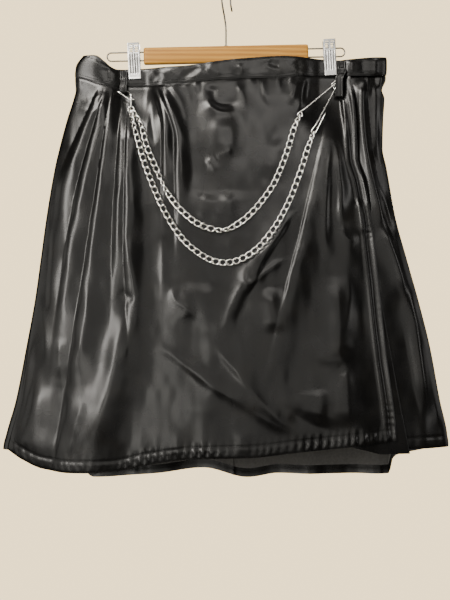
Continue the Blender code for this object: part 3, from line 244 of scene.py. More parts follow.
FRONT_CREASES = crease_table(
    # gathers that fan out from the band at the left
    (2.2, 7, 5, 1.2, 0.3, 0.3, (-233, 186), (-221, 189), (-206, 182), (-189, 171)),
    (2.2, 7, 5, 1.1, 0.3, 0.3, (-236, 196), (-214, 205), (-201, 197), (-192, 184)),
    (
        2.2, 6.4, 12, 0.9, 0.1, 0.3, (-190, 180), (-214, 212), (-226, 235), (-236, 266), (-248, 290),
        (-259, 314), (-266, 369),
    ),
    (2.2, 8, 14, 1.4, 0.3, 0.3, (-274, 360), (-276, 400), (-275, 439), (-276, 502), (-276, 529)),
    (
        2.2, 6.4, 12, 0.9, 0.1, 0.25, (-187, 176), (-193, 208), (-201, 243), (-211, 274), (-220, 306),
        (-229, 345), (-242, 389),
    ),
    (
        2.2, 6.4, 12, 1.0, 0.3, 0.3, (-246, 395), (-250, 425), (-248, 455), (-251, 486), (-261, 518),
        (-273, 533),
    ),
    (
        2.2, 6.4, 12, 0.9, 0.12, 0.25, (-191, 200), (-192, 235), (-195, 274), (-198, 321), (-203, 369),
        (-212, 423), (-214, 486),
    ),
    (2.2, 8.8, 11.2, 2.2, 0.3, 0.4, (-214, 470), (-217, 505), (-220, 533), (-229, 580), (-245, 620)),
    (2.2, 6.8, 7, 1.0, 0.25, 0.3, (-159, 262), (-162, 306), (-168, 337), (-171, 392), (-173, 455)),
    (
        2.2, 6.4, 12, 1.0, 0.1, 0.3, (-160, 200), (-157, 227), (-157, 266), (-152, 290), (-148, 321),
        (-145, 369), (-156, 408),
    ),
    (2.2, 9, 14, 2.4, 0.3, 0.3, (-156, 392), (-151, 439), (-143, 486), (-142, 530), (-148, 560)),
    (4, 5, 5, -1.5, 0.3, 0.3, (-169, 487), (-158, 494), (-143, 505)),
    (7, 16, 30, 3.6, 0.3, 0.25, (-151, 500), (-170, 580), (-182, 643), (-198, 690), (-217, 740)),
    (2.2, 8.8, 6.2, 1.6, 0.3, 0.4, (-143, 520), (-150, 556), (-160, 590), (-166, 620)),
    (2.2, 7.5, 8.8, 1.6, 0.35, 0.35, (-100, 395), (-99, 440), (-99, 505)),
    (2.2, 6.2, 6.2, 1.9, 0.05, 0.4, (-124, 166), (-123, 188), (-124, 212), (-127, 243)),
    (2.2, 11.2, 8.8, 1.9, 0.35, 0.35, (-291, 500), (-287, 540), (-284, 580), (-284, 612)),
    (2.2, 8.8, 8.8, 1.7, 0.35, 0.35, (-263, 560), (-261, 590), (-264, 628)),
    (4, 11.2, 11.2, -1.8, 0.3, 0.3, (-243, 600), (-249, 650), (-262, 700), (-272, 750)),
    (7, 12.5, 12.5, 1.8, 0.3, 0.2, (-296, 632), (-303, 668), (-316, 712), (-325, 742)),
    (4, 8.8, 7.5, -1.6, 0.3, 0.2, (-302, 560), (-304, 610), (-316, 668), (-330, 720)),
    (2.2, 10, 10, 1.5, 0.3, 0.3, (-222, 655), (-235, 700), (-246, 750)),
    # between the clips
    (2.2, 5.8, 6.2, 0.9, 0.05, 0.35, (-118, 164), (-105, 199), (-97, 230), (-95, 263), (-97, 302)),
    (2.2, 6, 6, -1.7, 0.3, 0.3, (-119, 182), (-118, 214), (-115, 240), (-112, 262)),
    (
        2.2, 6.8, 7.5, 1.0, 0.05, 0.3, (-107, 162), (-88, 196), (-79, 225), (-75, 254), (-70, 290),
        (-71, 326), (-71, 386),
    ),
    (4, 7.5, 6.2, -0.8, 0.1, 0.4, (-111, 166), (-96, 199), (-87, 230), (-84, 266), (-84, 310)),
    (2.2, 6.2, 6.2, 1.2, 0.1, 0.4, (-92, 160), (-76, 180), (-66, 205), (-62, 235)),
    (2.2, 6.2, 6.2, 1.1, 0.1, 0.5, (-66, 158), (-58, 180), (-52, 210)),
    (4, 5, 7.5, -1.5, 0.15, 0.3, (-22, 160), (-21, 176), (-15, 190), (2, 192), (25, 183)),
    (3, 7.5, 6.2, 1.6, 0.25, 0.3, (-31, 184), (-24, 196), (-12, 203), (4, 205), (16, 200)),
    (2.2, 5, 5, 1.3, 0.3, 0.3, (-18, 279), (-4, 273), (12, 266)),
    (2.2, 4.2, 4.2, 1.4, 0.25, 0.3, (-34, 287), (-25, 284), (-20, 293), (-16, 303)),
    (2.2, 5, 5, 1.2, 0.2, 0.5, (16, 156), (26, 178), (30, 204), (28, 232)),
    (2.2, 5, 5, 1, 0.1, 0.5, (58, 153), (62, 176), (70, 200)),
    (2.2, 7.5, 5, 1.9, 0.1, 0.4, (126, 148), (121, 170), (117, 196), (110, 218)),
    (4, 5, 5, -1.7, 0.15, 0.4, (134, 150), (130, 172), (128, 196)),
    (2.2, 5, 6.2, 1.6, 0.2, 0.4, (112, 152), (108, 172), (100, 196)),
    (2.2, 6.2, 6.2, 1.5, 0.3, 0.3, (146, 178), (153, 200), (158, 222)),
    # the fan from the pins
    (
        2.2, 6.4, 12, 1.0, 0.3, 0.25, (162, 228), (148, 269), (141, 301), (133, 332), (128, 359),
        (122, 392), (117, 417),
    ),
    (2.2, 6.4, 12, 1.2, 0.25, 0.35, (117, 405), (107, 442), (100, 464), (95, 493), (86, 530), (78, 566)),
    (3, 7, 9, 4.0, 0.35, 0.4, (163, 232), (162, 270), (159, 307), (157, 345), (156, 394), (157, 444)),
    (2.2, 6.5, 12, 4.4, 0.35, 0.25, (165, 228), (175, 264), (178, 294), (181, 332), (181, 369), (185, 397)),
    (2.2, 5, 5, 1.6, 0.3, 0.3, (181, 380), (186, 400), (193, 407), (203, 408), (210, 414)),
    (7, 16, 11, 4.2, 0.3, 0.3, (172, 455), (174, 520), (176, 590), (180, 620)),
    (7, 15, 11, 3.2, 0.3, 0.3, (186, 600), (188, 650), (190, 705)),
    (5, 11, 8, 3.4, 0.3, 0.3, (208, 338), (213, 370), (216, 405)),
    (7, 18, 16, 4.0, 0.35, 0.35, (150, 636), (146, 668), (136, 700)),
    (3, 8, 6, 1.4, 0.3, 0.4, (190, 455), (194, 490), (190, 530), (184, 566)),
    (7, 20, 10, 2.4, 0.35, 0.35, (4, 208), (7, 240), (4, 280)),
    (7, 18, 10, 2.4, 0.35, 0.35, (2, 328), (4, 358), (0, 392)),
    (5, 12, 9, 1.6, 0.35, 0.35, (-30, 332), (-36, 352), (-40, 376)),
    (7, 16, 12, 1.8, 0.35, 0.35, (84, 240), (78, 280), (66, 316)),
    (7, 20, 14, 2, 0.35, 0.35, (-36, 470), (-30, 510), (-22, 552)),
    (7, 22, 14, 2.2, 0.35, 0.35, (-66, 466), (-64, 505), (-62, 545)),
    # creases across the middle
    (7, 16, 14, 4.2, 0.35, 0.35, (64, 478), (72, 520), (74, 560)),
    (2.2, 6.2, 5, 1.7, 0.3, 0.2, (104, 362), (85, 395), (66, 424), (48, 455), (38, 472)),
    (
        2.2, 5.8, 5, 2.2, 0.25, 0.3, (34, 444), (28, 456), (28, 467), (34, 476), (45, 472), (63, 458),
        (82, 445), (103, 438),
    ),
    (2.2, 5, 9, 1.8, 0.15, 0.4, (30, 474), (16, 497), (6, 520), (-5, 547), (-13, 557)),
    (4, 6.2, 6.2, -1.6, 0.2, 0.4, (40, 480), (28, 505), (18, 530), (10, 552)),
    (2.2, 5, 5, 1.5, 0.3, 0.3, (-86, 478), (-79, 502), (-62, 515), (-52, 527), (-54, 539)),
    # the long diagonals
    (
        2.2, 9, 7, 1.3, 0.2, 0.3, (-110, 572), (-87, 585), (-62, 605), (-37, 625), (-12, 643), (20, 662),
        (50, 685),
    ),
    (2.2, 7.5, 6, 0.9, 0.3, 0.4, (38, 674), (60, 689), (80, 700), (102, 711)),
    (4, 8, 8, -0.8, 0.2, 0.4, (-112, 583), (-88, 596), (-62, 616), (-38, 636), (-12, 654)),
    (
        2.2, 6, 6, 1.1, 0.15, 0.3, (-18, 570), (0, 594), (20, 617), (40, 645), (63, 670), (86, 693),
        (111, 708),
    ),
    (4, 6.2, 6, -0.7, 0.25, 0.4, (-20, 586), (0, 608), (22, 634), (44, 662)),
    (7, 17.5, 15, 1.3, 0.4, 0.4, (-86, 668), (-50, 672), (8, 668)),
    (4, 11.2, 11.2, -0.7, 0.3, 0.3, (98, 676), (112, 686), (128, 688), (146, 676)),
    (7, 16.2, 12.5, 2.4, 0.4, 0.4, (74, 655), (104, 660), (140, 650)),
    (7, 12.5, 12.5, 1.6, 0.4, 0.4, (146, 552), (150, 580), (156, 612)),
    (4, 5, 5, -0.6, 0.35, 0.35, (178, 574), (186, 582), (194, 590)),
    (4, 5, 5, -0.5, 0.35, 0.35, (172, 604), (180, 612), (186, 620)),
    (2.2, 10, 10, 1.2, 0.4, 0.4, (20, 700), (26, 722), (30, 746)),
    (2.2, 11.2, 11.2, 1.3, 0.4, 0.4, (-70, 700), (-76, 722), (-80, 750)),
)
RIGHT_CREASES = crease_table(
    (
        2.4, 7, 12, 4.8, 0.1, 0.2, (217, 148), (216, 194), (218, 233), (224, 279), (230, 307), (240, 344),
        (253, 389),
    ),
    (3, 8, 12, 5.2, 0.25, 0.3, (252, 380), (258, 408), (266, 431), (278, 469), (286, 500)),
    (4, 5, 5, -1.8, 0.1, 0.3, (224, 160), (224, 210), (229, 260), (236, 300), (250, 344), (262, 389)),
    (2.2, 4.2, 4.2, 1.6, 0.2, 0.3, (232, 262), (238, 307), (250, 339), (260, 369), (268, 392)),
    (2.2, 5, 5, 1.6, 0.15, 0.3, (238, 152), (239, 190), (239, 230), (240, 274)),
    (4, 10, 12, 5.0, 0.3, 0.3, (288, 476), (300, 540), (310, 620), (322, 690)),
    (4, 7.5, 7.5, -1.6, 0.3, 0.3, (280, 520), (290, 590), (302, 660), (310, 715)),
    (2.2, 7.5, 7.5, 1.4, 0.3, 0.3, (322, 600), (332, 660), (338, 712)),
    (2.2, 6.2, 6.2, 1.2, 0.35, 0.35, (306, 520), (314, 560), (320, 588)),
)
BACK_CREASES = crease_table(
    (2.2, 6.2, 6.2, 1.7, 0.05, 0.35, (-222, 168), (-228, 210), (-236, 262)),
    (2.2, 6.2, 8.8, 2.2, 0.1, 0.3, (-196, 170), (-206, 220), (-222, 290), (-240, 360)),
    (4, 7.5, 7.5, -2, 0.2, 0.3, (-184, 190), (-196, 260), (-212, 330), (-226, 400)),
    (2.2, 7.5, 10, 2.2, 0.1, 0.3, (-170, 168), (-180, 230), (-190, 310), (-198, 400), (-206, 480)),
    (2.2, 8.8, 8.8, 1.8, 0.35, 0.3, (-262, 400), (-272, 480), (-284, 560), (-300, 640)),
    (2.2, 7.5, 8.8, 2, 0.05, 0.35, (-132, 166), (-136, 210), (-142, 270), (-148, 340)),
    (4, 7.5, 7.5, -1.8, 0.2, 0.4, (-120, 180), (-118, 250), (-116, 320)),
    (2.2, 6.2, 7.5, 2, 0.05, 0.4, (-110, 164), (-98, 200), (-88, 250), (-84, 310)),
    (2.2, 6.2, 6.2, 1.3, 0.1, 0.4, (-84, 160), (-74, 190), (-68, 226)),
    (2.2, 6.2, 6.2, 1.2, 0.1, 0.4, (-48, 158), (-46, 190), (-50, 226)),
    (2.2, 6.2, 6.2, 1.2, 0.1, 0.4, (-16, 156), (-20, 188), (-26, 220)),
    (2.2, 6.2, 6.2, 1.3, 0.1, 0.4, (44, 154), (48, 186), (56, 222)),
    (2.2, 6.2, 6.2, 1.4, 0.1, 0.4, (86, 152), (82, 186), (76, 230)),
    (2.2, 6.2, 7.5, 2, 0.05, 0.4, (126, 150), (120, 190), (110, 250), (104, 300)),
    (2.2, 7.5, 7.5, 2, 0.05, 0.4, (180, 150), (186, 200), (192, 260), (198, 320)),
    (2.2, 6.2, 7.5, 2.2, 0.05, 0.3, (206, 150), (214, 210), (224, 280), (236, 350)),
    (4, 7.5, 6.2, -1.8, 0.2, 0.3, (196, 180), (204, 250), (214, 330), (226, 400)),
    (2.2, 6.2, 6.2, 1.6, 0.1, 0.4, (232, 150), (234, 190), (238, 250)),
    (2.2, 11.2, 11.2, 2, 0.3, 0.3, (-150, 430), (-152, 520), (-160, 610), (-172, 700)),
    (7, 11.2, 12.5, 1.9, 0.35, 0.3, (-60, 380), (-62, 480), (-54, 580), (-46, 680)),
    (7, 12.5, 11.2, 1.9, 0.35, 0.3, (66, 400), (72, 500), (82, 600), (88, 700)),
    (2.2, 10, 11.2, 1.8, 0.35, 0.3, (188, 400), (196, 500), (206, 600), (212, 700)),
    (2.2, 8.8, 6.2, 1.8, 0.3, 0.3, (-90, 330), (-62, 352), (-30, 366), (0, 370)),
    (2.2, 6.2, 7.5, 1.7, 0.3, 0.3, (120, 330), (96, 352), (66, 366), (38, 370)),
    (2.2, 7.5, 6.2, 1.6, 0.3, 0.4, (-130, 470), (-100, 500), (-66, 540), (-40, 590)),
    (2.2, 6.2, 7.5, 1.5, 0.3, 0.4, (160, 480), (136, 520), (104, 560), (70, 600)),
    (4, 6.2, 5, -1.3, 0.3, 0.4, (-20, 470), (-6, 500), (2, 540)),
    (2.2, 6.2, 5, 1.4, 0.3, 0.3, (30, 470), (44, 500), (50, 540)),
    (2.2, 7.5, 7.5, 1.5, 0.35, 0.35, (-240, 560), (-252, 620), (-268, 690)),
    (4, 7.5, 7.5, -1.6, 0.3, 0.3, (-196, 560), (-206, 630), (-218, 700)),
    (2.2, 7.5, 7.5, 1.6, 0.3, 0.3, (256, 460), (268, 530), (280, 600)),
    (2.2, 7.5, 7.5, 1.5, 0.3, 0.3, (300, 560), (312, 620), (324, 680)),
    (4, 10, 10, -1.6, 0.3, 0.3, (136, 600), (140, 660), (146, 730)),
    (4, 10, 10, -1.6, 0.3, 0.3, (-104, 600), (-108, 660), (-112, 730)),
)
BAND_CREASES = crease_table(
    (2.2, 5, 6, 0.9, 0.25, 0.3, (-130, 138), (-120, 148), (-113, 157)),
    (2.2, 5, 5, -0.9, 0.25, 0.3, (-120, 134), (-110, 146), (-104, 156)),
    (2.2, 5, 5, 0.7, 0.25, 0.3, (-96, 136), (-84, 142), (-72, 152)),
    (2.2, 3.8, 3.8, 0.9, 0.2, 0.3, (-184, 134), (-183, 146), (-181, 160)),
    (2.2, 3.8, 3.8, 0.8, 0.2, 0.3, (-177, 138), (-176, 150), (-174, 161)),
    (4, 5, 5, -0.9, 0.2, 0.3, (-190, 132), (-189, 146), (-188, 158)),
    (3, 5, 6, 0.7, 0.35, 0.35, (-118, 146), (-104, 142), (-90, 142)),
    (4, 3.8, 3.8, -1.2, 0.2, 0.3, (-72, 153), (-58, 142), (-40, 131)),
    (2.2, 5, 5, 0.8, 0.3, 0.3, (-62, 156), (-48, 146), (-32, 134)),
    (2.2, 10, 10, 1.1, 0.35, 0.35, (-34, 132), (-20, 138), (-4, 146)),
    (2.2, 3.8, 3.8, 0.9, 0.3, 0.3, (20, 126), (24, 138), (22, 148)),
    (2.2, 3.8, 3.8, 1.0, 0.25, 0.3, (62, 126), (70, 134), (82, 136), (90, 146)),
    (4, 3.8, 3.8, -0.9, 0.25, 0.3, (68, 122), (76, 129), (88, 131)),
    (2.2, 6.2, 5, 1.0, 0.3, 0.3, (116, 144), (127, 141), (138, 138)),
    (4, 5, 5, -0.8, 0.3, 0.3, (112, 120), (116, 128), (114, 138)),
    (2.2, 3.8, 3.8, 0.8, 0.2, 0.2, (200, 120), (199, 132), (200, 143)),
    (4, 3.8, 3.8, -0.8, 0.2, 0.2, (216, 119), (217, 131), (216, 144)),
    (2.2, 5, 5, 1.3, 0.2, 0.2, (238, 117), (239, 130), (238, 144)),
)
BACK_BAND_CREASES = BAND_CREASES[:3] + crease_table(
    (2.2, 5, 5, 1.1, 0.2, 0.2, (-222, 118), (-221, 132), (-222, 148)),
    (4, 3.8, 3.8, -0.9, 0.2, 0.3, (-196, 128), (-195, 142), (-197, 156)),
    (2.2, 5, 5, 1.0, 0.3, 0.3, (-112, 136), (-100, 142), (-90, 152)),
    (4, 3.8, 3.8, -0.9, 0.25, 0.3, (-62, 152), (-50, 142), (-40, 130)),
    (2.2, 10, 10, 1.0, 0.35, 0.35, (-24, 130), (-10, 136), (6, 144)),
    (2.2, 3.8, 3.8, 0.9, 0.3, 0.3, (40, 124), (52, 132), (60, 144)),
    (2.2, 5, 5, 1.0, 0.3, 0.3, (96, 146), (108, 136), (118, 122)),
    (2.2, 5, 5, 0.9, 0.2, 0.2, (206, 120), (205, 132), (206, 142)),
    (2.2, 5, 5, 1.1, 0.2, 0.2, (234, 118), (235, 130), (234, 142)),
)

# Short gathers below the band: how far each runs down, and how far it leans to the side on the way
GATHER_CREST = 1.6
GATHER_FADE = (0.02, 0.7)
GATHER_BEND = ((0, 0), (0.35, 0.5), (1, 1))  # shares of the lean and of the run
FRONT_GATHERS = table(
    "x run lean width height",
    (-234, 24, -2, 3.4, 0.7), (-181, 40, -4, 3.0, 0.9), (-150, 30, 1, 3.4, 0.7), (-134, 34, 0, 3.4, 0.8),
    (-98, 30, 8, 3.6, 0.7), (-48, 24, 3, 3.6, 0.7), (40, 26, 1, 3.6, 0.7), (84, 30, -2, 3.4, 0.8),
    (104, 26, -4, 3.2, 0.9), (142, 26, 4, 3.0, 0.9), (172, 22, 2, 3.0, 0.8),
)
RIGHT_GATHERS = table(
    "x run lean width height",
    (226, 40, 2, 3.0, 1.0), (232, 30, 2, 2.8, 0.9), (246, 36, 0, 3.0, 1.0),
)
BACK_GATHERS = table(
    "x run lean width height",
    (-228, 36, -6, 3.4, 1.1), (-210, 44, -8, 3.4, 1.2), (-184, 40, -5, 3.2, 1.1), (-158, 34, -2, 3.2, 1.0),
    (-120, 40, 4, 3.2, 1.1), (-96, 34, 5, 3.2, 1.0), (-66, 28, 3, 3.6, 0.8), (-32, 26, 0, 3.6, 0.8),
    (-2, 24, 0, 3.6, 0.7), (28, 26, 1, 3.6, 0.7), (66, 30, 1, 3.6, 0.8), (104, 32, -3, 3.4, 0.9),
    (140, 34, -2, 3.2, 1.0), (192, 36, 3, 3.2, 1.0), (218, 42, 5, 3.2, 1.1), (242, 34, 2, 3.2, 1.0),
)

# Where the sewing puckers the cloth, and how strongly
FRONT_PUCKERS = table(
    "x reach strength",
    (-330, 30, 0.35), (-230, 40, 0.3), (-128, 34, 0.8), (-40, 34, 0.9), (60, 30, 0.35), (138, 36, 0.9),
    (205, 24, 0.9), (255, 20, 0.5),
)
BACK_PUCKERS = table(
    "x reach strength",
    (-330, 40, 0.5), (-120, 120, 0.8), (90, 60, 0.35), (210, 60, 0.6), (320, 40, 0.6),
)
PUCKER_SPACING = 12.5

# Crinkles across the free edge's sewn strip
EDGE_CRINKLES = table(
    "down reach spacing height",
    (388, 26, 9.5, 0.5), (520, 20, 12.0, 0.15), (690, 26, 11.0, 0.25),
)
HEM_DEPTH = 17.0  # from a hem's fold up to its row of stitches
FREE_EDGE_STITCH = 13.5  # from the free edge to its row of stitches
TOPSTITCH = 2.4  # from a band's edge to its row of stitches
SECOND_TOPSTITCH = 2.4 * TOPSTITCH
STITCH_LENGTH, STITCH_PITCH, THREAD = 2.8, 3.4, 0.34
# Lines along the free edge: how far in from it, how wide and how high
EDGE_LINES = table(
    "at width height",
    (FREE_EDGE_STITCH, 1.6, -0.6),
    (FREE_EDGE_STITCH + 2.6, 2.9, 2.2),
    (0.62 * FREE_EDGE_STITCH, 3.4, -0.7),
    (1.8, 2.8, 2.0),
)
# Soft random heights: "squeeze" is below 1 where the bumps are longer down the cloth than across it
UNEVEN = "height squeeze size seed"
FRONT_UNEVEN = table(UNEVEN, (1.0, 0.45, 27.0, 1), (0.3, 0.5, 12.5, 2))
RIGHT_UNEVEN = table(UNEVEN, (0.7, 0.35, 24.0, 21), (0.2, 0.4, 12.0, 22))
BACK_UNEVEN = table(UNEVEN, (1.0, 0.45, 27.0, 31), (0.3, 0.5, 12.5, 32))
SEAM_SINK, SEAM_REACH = 0.9, 1.8  # how deep the seam at the band draws the cloth in, and how far
CREASE_STEP, CREASE_REACH = 5.0, 5  # between its line's points, and how many flanks wide it acts
# How high a crease may stand below the hardware, and how fast that height grows away from it
HIGHEST_CREASE, PRESSED_TO, PRESSED_RISE, PRESSED_WIDTH = 9.0, 0.35, 1.6, 9.0

# How finely the cloth is made
CLOTH_STEP = 2.3
BACK_STEP = 2.9
BAND_STEP = 1.5
INSIDE_STEP = 2
UNDERLAP_COLUMNS = 26
PLEAT_COLUMNS = 24  # the columns of the pleat's two turns and between them, where no hem is sewn
RIGHT_COLUMNS = 52
OVERLAP_SIZE, RIGHT_LENGTH, BACK_LENGTH, BAND_SIZE = (640, 615), 600, 640, (500, 32)
STRAP_HALF, STRAP_STITCH = 12, 0.56  # columns in half a belt loop, and where its stitches run
# Heights near the band and the hems at which each column's place across is found
NEAR_TOP, BAND_MIDDLE, NEAR_FRONT_HEM, NEAR_BACK_HEM = 150.0, 148.0, 740.0, 750.0
# Where the right panel's columns meet the hem: its underlap, its pleat and the rest
UNDERLAP_HEM, PLEAT_HEM, RIGHT_HEM_ENDS = (195, 286), 289, (300, 356)

# The form -----------------------------------------------------------------------------------------


def smooth(keys, values, at):
    """A cubic through the points whose slopes never overshoot a level stretch."""
    keys, values = np.asarray(keys, float), np.asarray(values, float)
    at = np.clip(np.asarray(at, float), keys[0], keys[-1])
    i = np.clip(np.searchsorted(keys, at) - 1, 0, len(keys) - 2)
    chords = np.diff(values) / np.diff(keys)
    before = np.concatenate([chords[:1], chords])
    after = np.concatenate([chords, chords[-1:]])
    rising = before * after > 0
    slopes = np.where(rising, 2 * before * after / np.where(rising, before + after, 1.0), 0.0)
    step = keys[i + 1] - keys[i]
    t = (at - keys[i]) / step
    return (
        values[i] * (1 + 2 * t) * (1 - t) ** 2
        + slopes[i] * step * t * (1 - t) ** 2
        + values[i + 1] * t * t * (3 - 2 * t)
        + slopes[i + 1] * step * t * t * (t - 1)
    )


def through(rows, key, value, at):
    """The smooth curve through the rows, flat past both ends."""
    return smooth([getattr(row, key) for row in rows], [getattr(row, value) for row in rows], at)


def at_height(rows, down):
    return through(rows, "down", "at", down)


def ease(start, end, at):
    """0 before start, 1 after end, and smooth between."""
    t = np.clip((np.asarray(at, float) - start) / (end - start), 0.0, 1.0)
    return t * t * (3 - 2 * t)


def bell(away, width):
    """1 at the middle, falling off softly to both sides."""
    return np.exp(-((away / width) ** 2))


def sides(down):
    """(middle, half width) of the hanging skirt at a height."""
    left = through(LEVELS, "down", "left", down)
    right = through(LEVELS, "down", "right", down)
    return (left + right) / 2, (right - left) / 2


def x_at(t, down):
    middle, half = sides(down)
    return middle + half * t


def t_at(x, down):
    middle, half = sides(down)
    return (x - middle) / half


def band_edge(x, edge):
    return through(BAND_ROWS, "x", edge, x)


def panel_top(x):
    return band_edge(x, "bottom") + GAP


def pinch(x, down):
    """How much a clip holds the cloth flat there, from 0 to 1."""
    most = np.zeros(np.shape(x))
    for clip in CLIPS:
        outside = (x - clip.x) * np.sign(clip.x) > 0
        fall = np.where(outside, clip.outer_fall, clip.inner_fall)
        most = np.maximum(most, bell(np.maximum(0.0, np.abs(x - clip.x) - CLIP_FLAT), fall))
    return most * (1 - ease(*CLIP_FADE, down))


def folds_at(folds, x, down):
    """The height of the folds there, fading out towards the waistband."""
    height = 0.0
    for fold in folds:
        across = (x - smooth(fold.downs, fold.xs, down)) / smooth(fold.downs, fold.widths, down)
        rise = smooth(fold.downs, fold.heights, down) * (down > fold.downs[0])
        rolled = np.maximum(0.0, 1 - (across / STEEP_WIDTH) ** 2) ** STEEP_ROUNDING
        height = height + rise * np.where(across * fold.steep > 0, rolled, bell(across, 1))
    return height * ease(0, FOLD_FADE, down - band_edge(x, "bottom"))


def swell(t):
    """How far the skirt bulges there, as a share of its depth in the middle."""
    return np.sqrt(np.maximum(0.0, 1 - np.abs(t) ** 3))


def cloth_y(side, t, down):
    """Where the outermost cloth's middle lies: side is -1 for the front and 1 for the back."""
    x = x_at(t, down)
    column, folds = ("front", FRONT_FOLDS) if side < 0 else ("back", BACK_FOLDS)
    held = pinch(x, down)
    free = through(LEVELS, "down", column, down) * swell(t)
    free = free + folds_at(folds, x, down) * np.minimum(1.0, 1.6 * swell(t))
    return side * (free * (1 - held) + np.minimum(CLAMPED, free + 0.2) * held)


def front_y(x, down):
    return cloth_y(-1, t_at(x, down), down)


def left_seam(down):
    return -1 + at_height(LEFT_INSET, down) / sides(down)[1]


def right_seam(down):
    return 1 - SEAM_INSET_RIGHT / sides(down)[1]


# Lines and creases --------------------------------------------------------------------------------


def dense(points, step=1.0):
    """A smooth line through the points, with a point about every step."""
    points = [np.array(p, float) for p in points]
    ends = [2 * points[0] - points[1]] + points + [2 * points[-1] - points[-2]]
    line = []
    for a, b, c, d in zip(ends, ends[1:], ends[2:], ends[3:]):
        count = max(2, int(np.linalg.norm(c - b) / step))
        t = (np.arange(count) / count)[:, None]
        bend, twist = 2 * a - 5 * b + 4 * c - d, 3 * b - a - 3 * c + d
        line.append(b + 0.5 * ((c - a) * t + bend * t * t + twist * t**3))
    line.append(points[-1][None, :])
    return np.concatenate(line)


def nearest(line, x, down):
    """(signed distance, share of the length) of each place from a line, positive on its left."""
    best = np.full(x.shape, 1e9)
    side, share = np.ones(x.shape), np.zeros(x.shape)
    count = len(line) - 1
    for k in range(count):
        run = line[k + 1] - line[k]
        dx, dd = x - line[k][0], down - line[k][1]
        t = np.clip((dx * run[0] + dd * run[1]) / (run @ run), 0, 1)
        away = (dx - t * run[0]) ** 2 + (dd - t * run[1]) ** 2
        closer = away < best
        best = np.where(closer, away, best)
        side = np.where(closer, np.where(dd * run[0] < dx * run[1], -1, 1), side)
        share = np.where(closer, (k + t) / count, share)
    return np.sqrt(best) * side, share


def crease_height(creases, x, down):
    """The summed height of the creases at each place."""
    total = np.zeros(x.shape)
    for crease in creases:
        line = dense(crease.path, CREASE_STEP)
        reach = CREASE_REACH * max(crease.left, crease.right)
        near = (x > line[:, 0].min() - reach) & (x < line[:, 0].max() + reach)
        near &= (down > line[:, 1].min() - reach) & (down < line[:, 1].max() + reach)
        if not near.any():
            continue
        # "left" is the left as seen in the picture while the line runs down
        away, share = nearest(line, x[near], down[near])
        flank = np.where(away > 0, crease.left, crease.right)
        fade = ease(0, crease.start, share) * ease(0, crease.end, 1 - share)
        fallen = (np.sqrt(away * away + crease.crest**2) - crease.crest) / flank
        total[near] += crease.height * fade * np.exp(-fallen)
    return total


def gather_creases(gathers):
    """The short gathers as creases that start in the band's seam, each with a hollow beside it."""
    made = []
    for g in gathers:
        top = float(band_edge(g.x, "bottom")) - 2
        path = [(g.x + g.lean * lean, top + g.run * run) for lean, run in GATHER_BEND]
        beside = [(x + 2.1 * g.width, down) for x, down in path]
        for height, line in ((g.height, path), (-0.6 * g.height, beside)):
            made.append(Crease(GATHER_CREST, g.width, g.width, height, *GATHER_FADE, line))
    return tuple(made)


def unevenness(x, down, size, seed):
    """A soft random height between -1 and 1, whose bumps are about one size across."""
    heights = np.random.default_rng(seed).uniform(-1, 1, (64, 64))
    u, v = x / size + 31.0, down / size + 7.0
    i, j = np.floor(u).astype(int), np.floor(v).astype(int)
    a, b = u - i, v - j
    a, b = a * a * (3 - 2 * a), b * b * (3 - 2 * b)
    low = heights[i % 64, j % 64] * (1 - a) + heights[(i + 1) % 64, j % 64] * a
    high = heights[i % 64, (j + 1) % 64] * (1 - a) + heights[(i + 1) % 64, (j + 1) % 64] * a
    return low * (1 - b) + high * b


def puckers(rows, x, up):
    """Ripples in a turned-up hem, "up" millimetres above its fold."""
    strength = 0.05 + sum(row.strength * bell(x - row.x, row.reach) for row in rows)
    wander = 5.0 * unevenness(x, x * 0, 40.0, 5) + x
    wave = np.sin(2 * math.pi * wander / PUCKER_SPACING)
    below, above = bell(up - 0.55 * HEM_DEPTH, 6.5), 0.35 * bell(up - HEM_DEPTH - 4, 5.0)
    return 1.2 * strength * wave * (below + above)


def sewn_ends(rows, x, up, from_top):
    """The seam at the band, and the turned-up hem with its doubled strip, stitches and ripples."""
    strip = 0.15 * (1 - ease(HEM_DEPTH - 1, HEM_DEPTH + 5, up))
    groove = -0.6 * bell(up - HEM_DEPTH, 2.0)
    fold = -0.6 * np.exp(-up / 1.8)
    return strip + groove + fold + puckers(rows, x, up) - SEAM_SINK * np.exp(-from_top / SEAM_REACH)


# Where something lies on the front's cloth, so that creases stay low there
CHAIN_LINES = [dense(UPPER_CHAIN, 4.0), dense(LOWER_CHAIN, 4.0)]
PRESSED = (
    ((-168, 150), (-160, 176), (-151, 190), (-146, 212)),
    ((-146, 205), (-134, 227)),
    ((117, 209), (150, 176), (186, 148)),
    ((138, 236), (160, 190), (184, 160)),
    ((117, 209), (108, 229)),
    ((138, 236), (129, 263)),
)
PRESSED_LINES = CHAIN_LINES + [dense(p, 4.0) for p in PRESSED]


def under_hardware(x, down):
    """The highest that a crease may stand below the chains, clasp and pins."""
    top = np.full(x.shape, HIGHEST_CREASE)
    for line in PRESSED_LINES:
        away, _ = nearest(line, x, down)
        top = np.minimum(top, PRESSED_TO + PRESSED_RISE * (away / PRESSED_WIDTH) ** 2)
    return top


def creased(creases, gathers, uneven, x, down, inwards, fade):
    """The height of a panel's creases, which fade out at its outer edge and under the clips."""
    height = crease_height(creases + gather_creases(gathers), x, down)
    for row in uneven:
        height += row.height * unevenness(x, down * row.squeeze, row.size, row.seed)
    return height * ease(0.0, fade, inwards) * (1 - pinch(x, down))


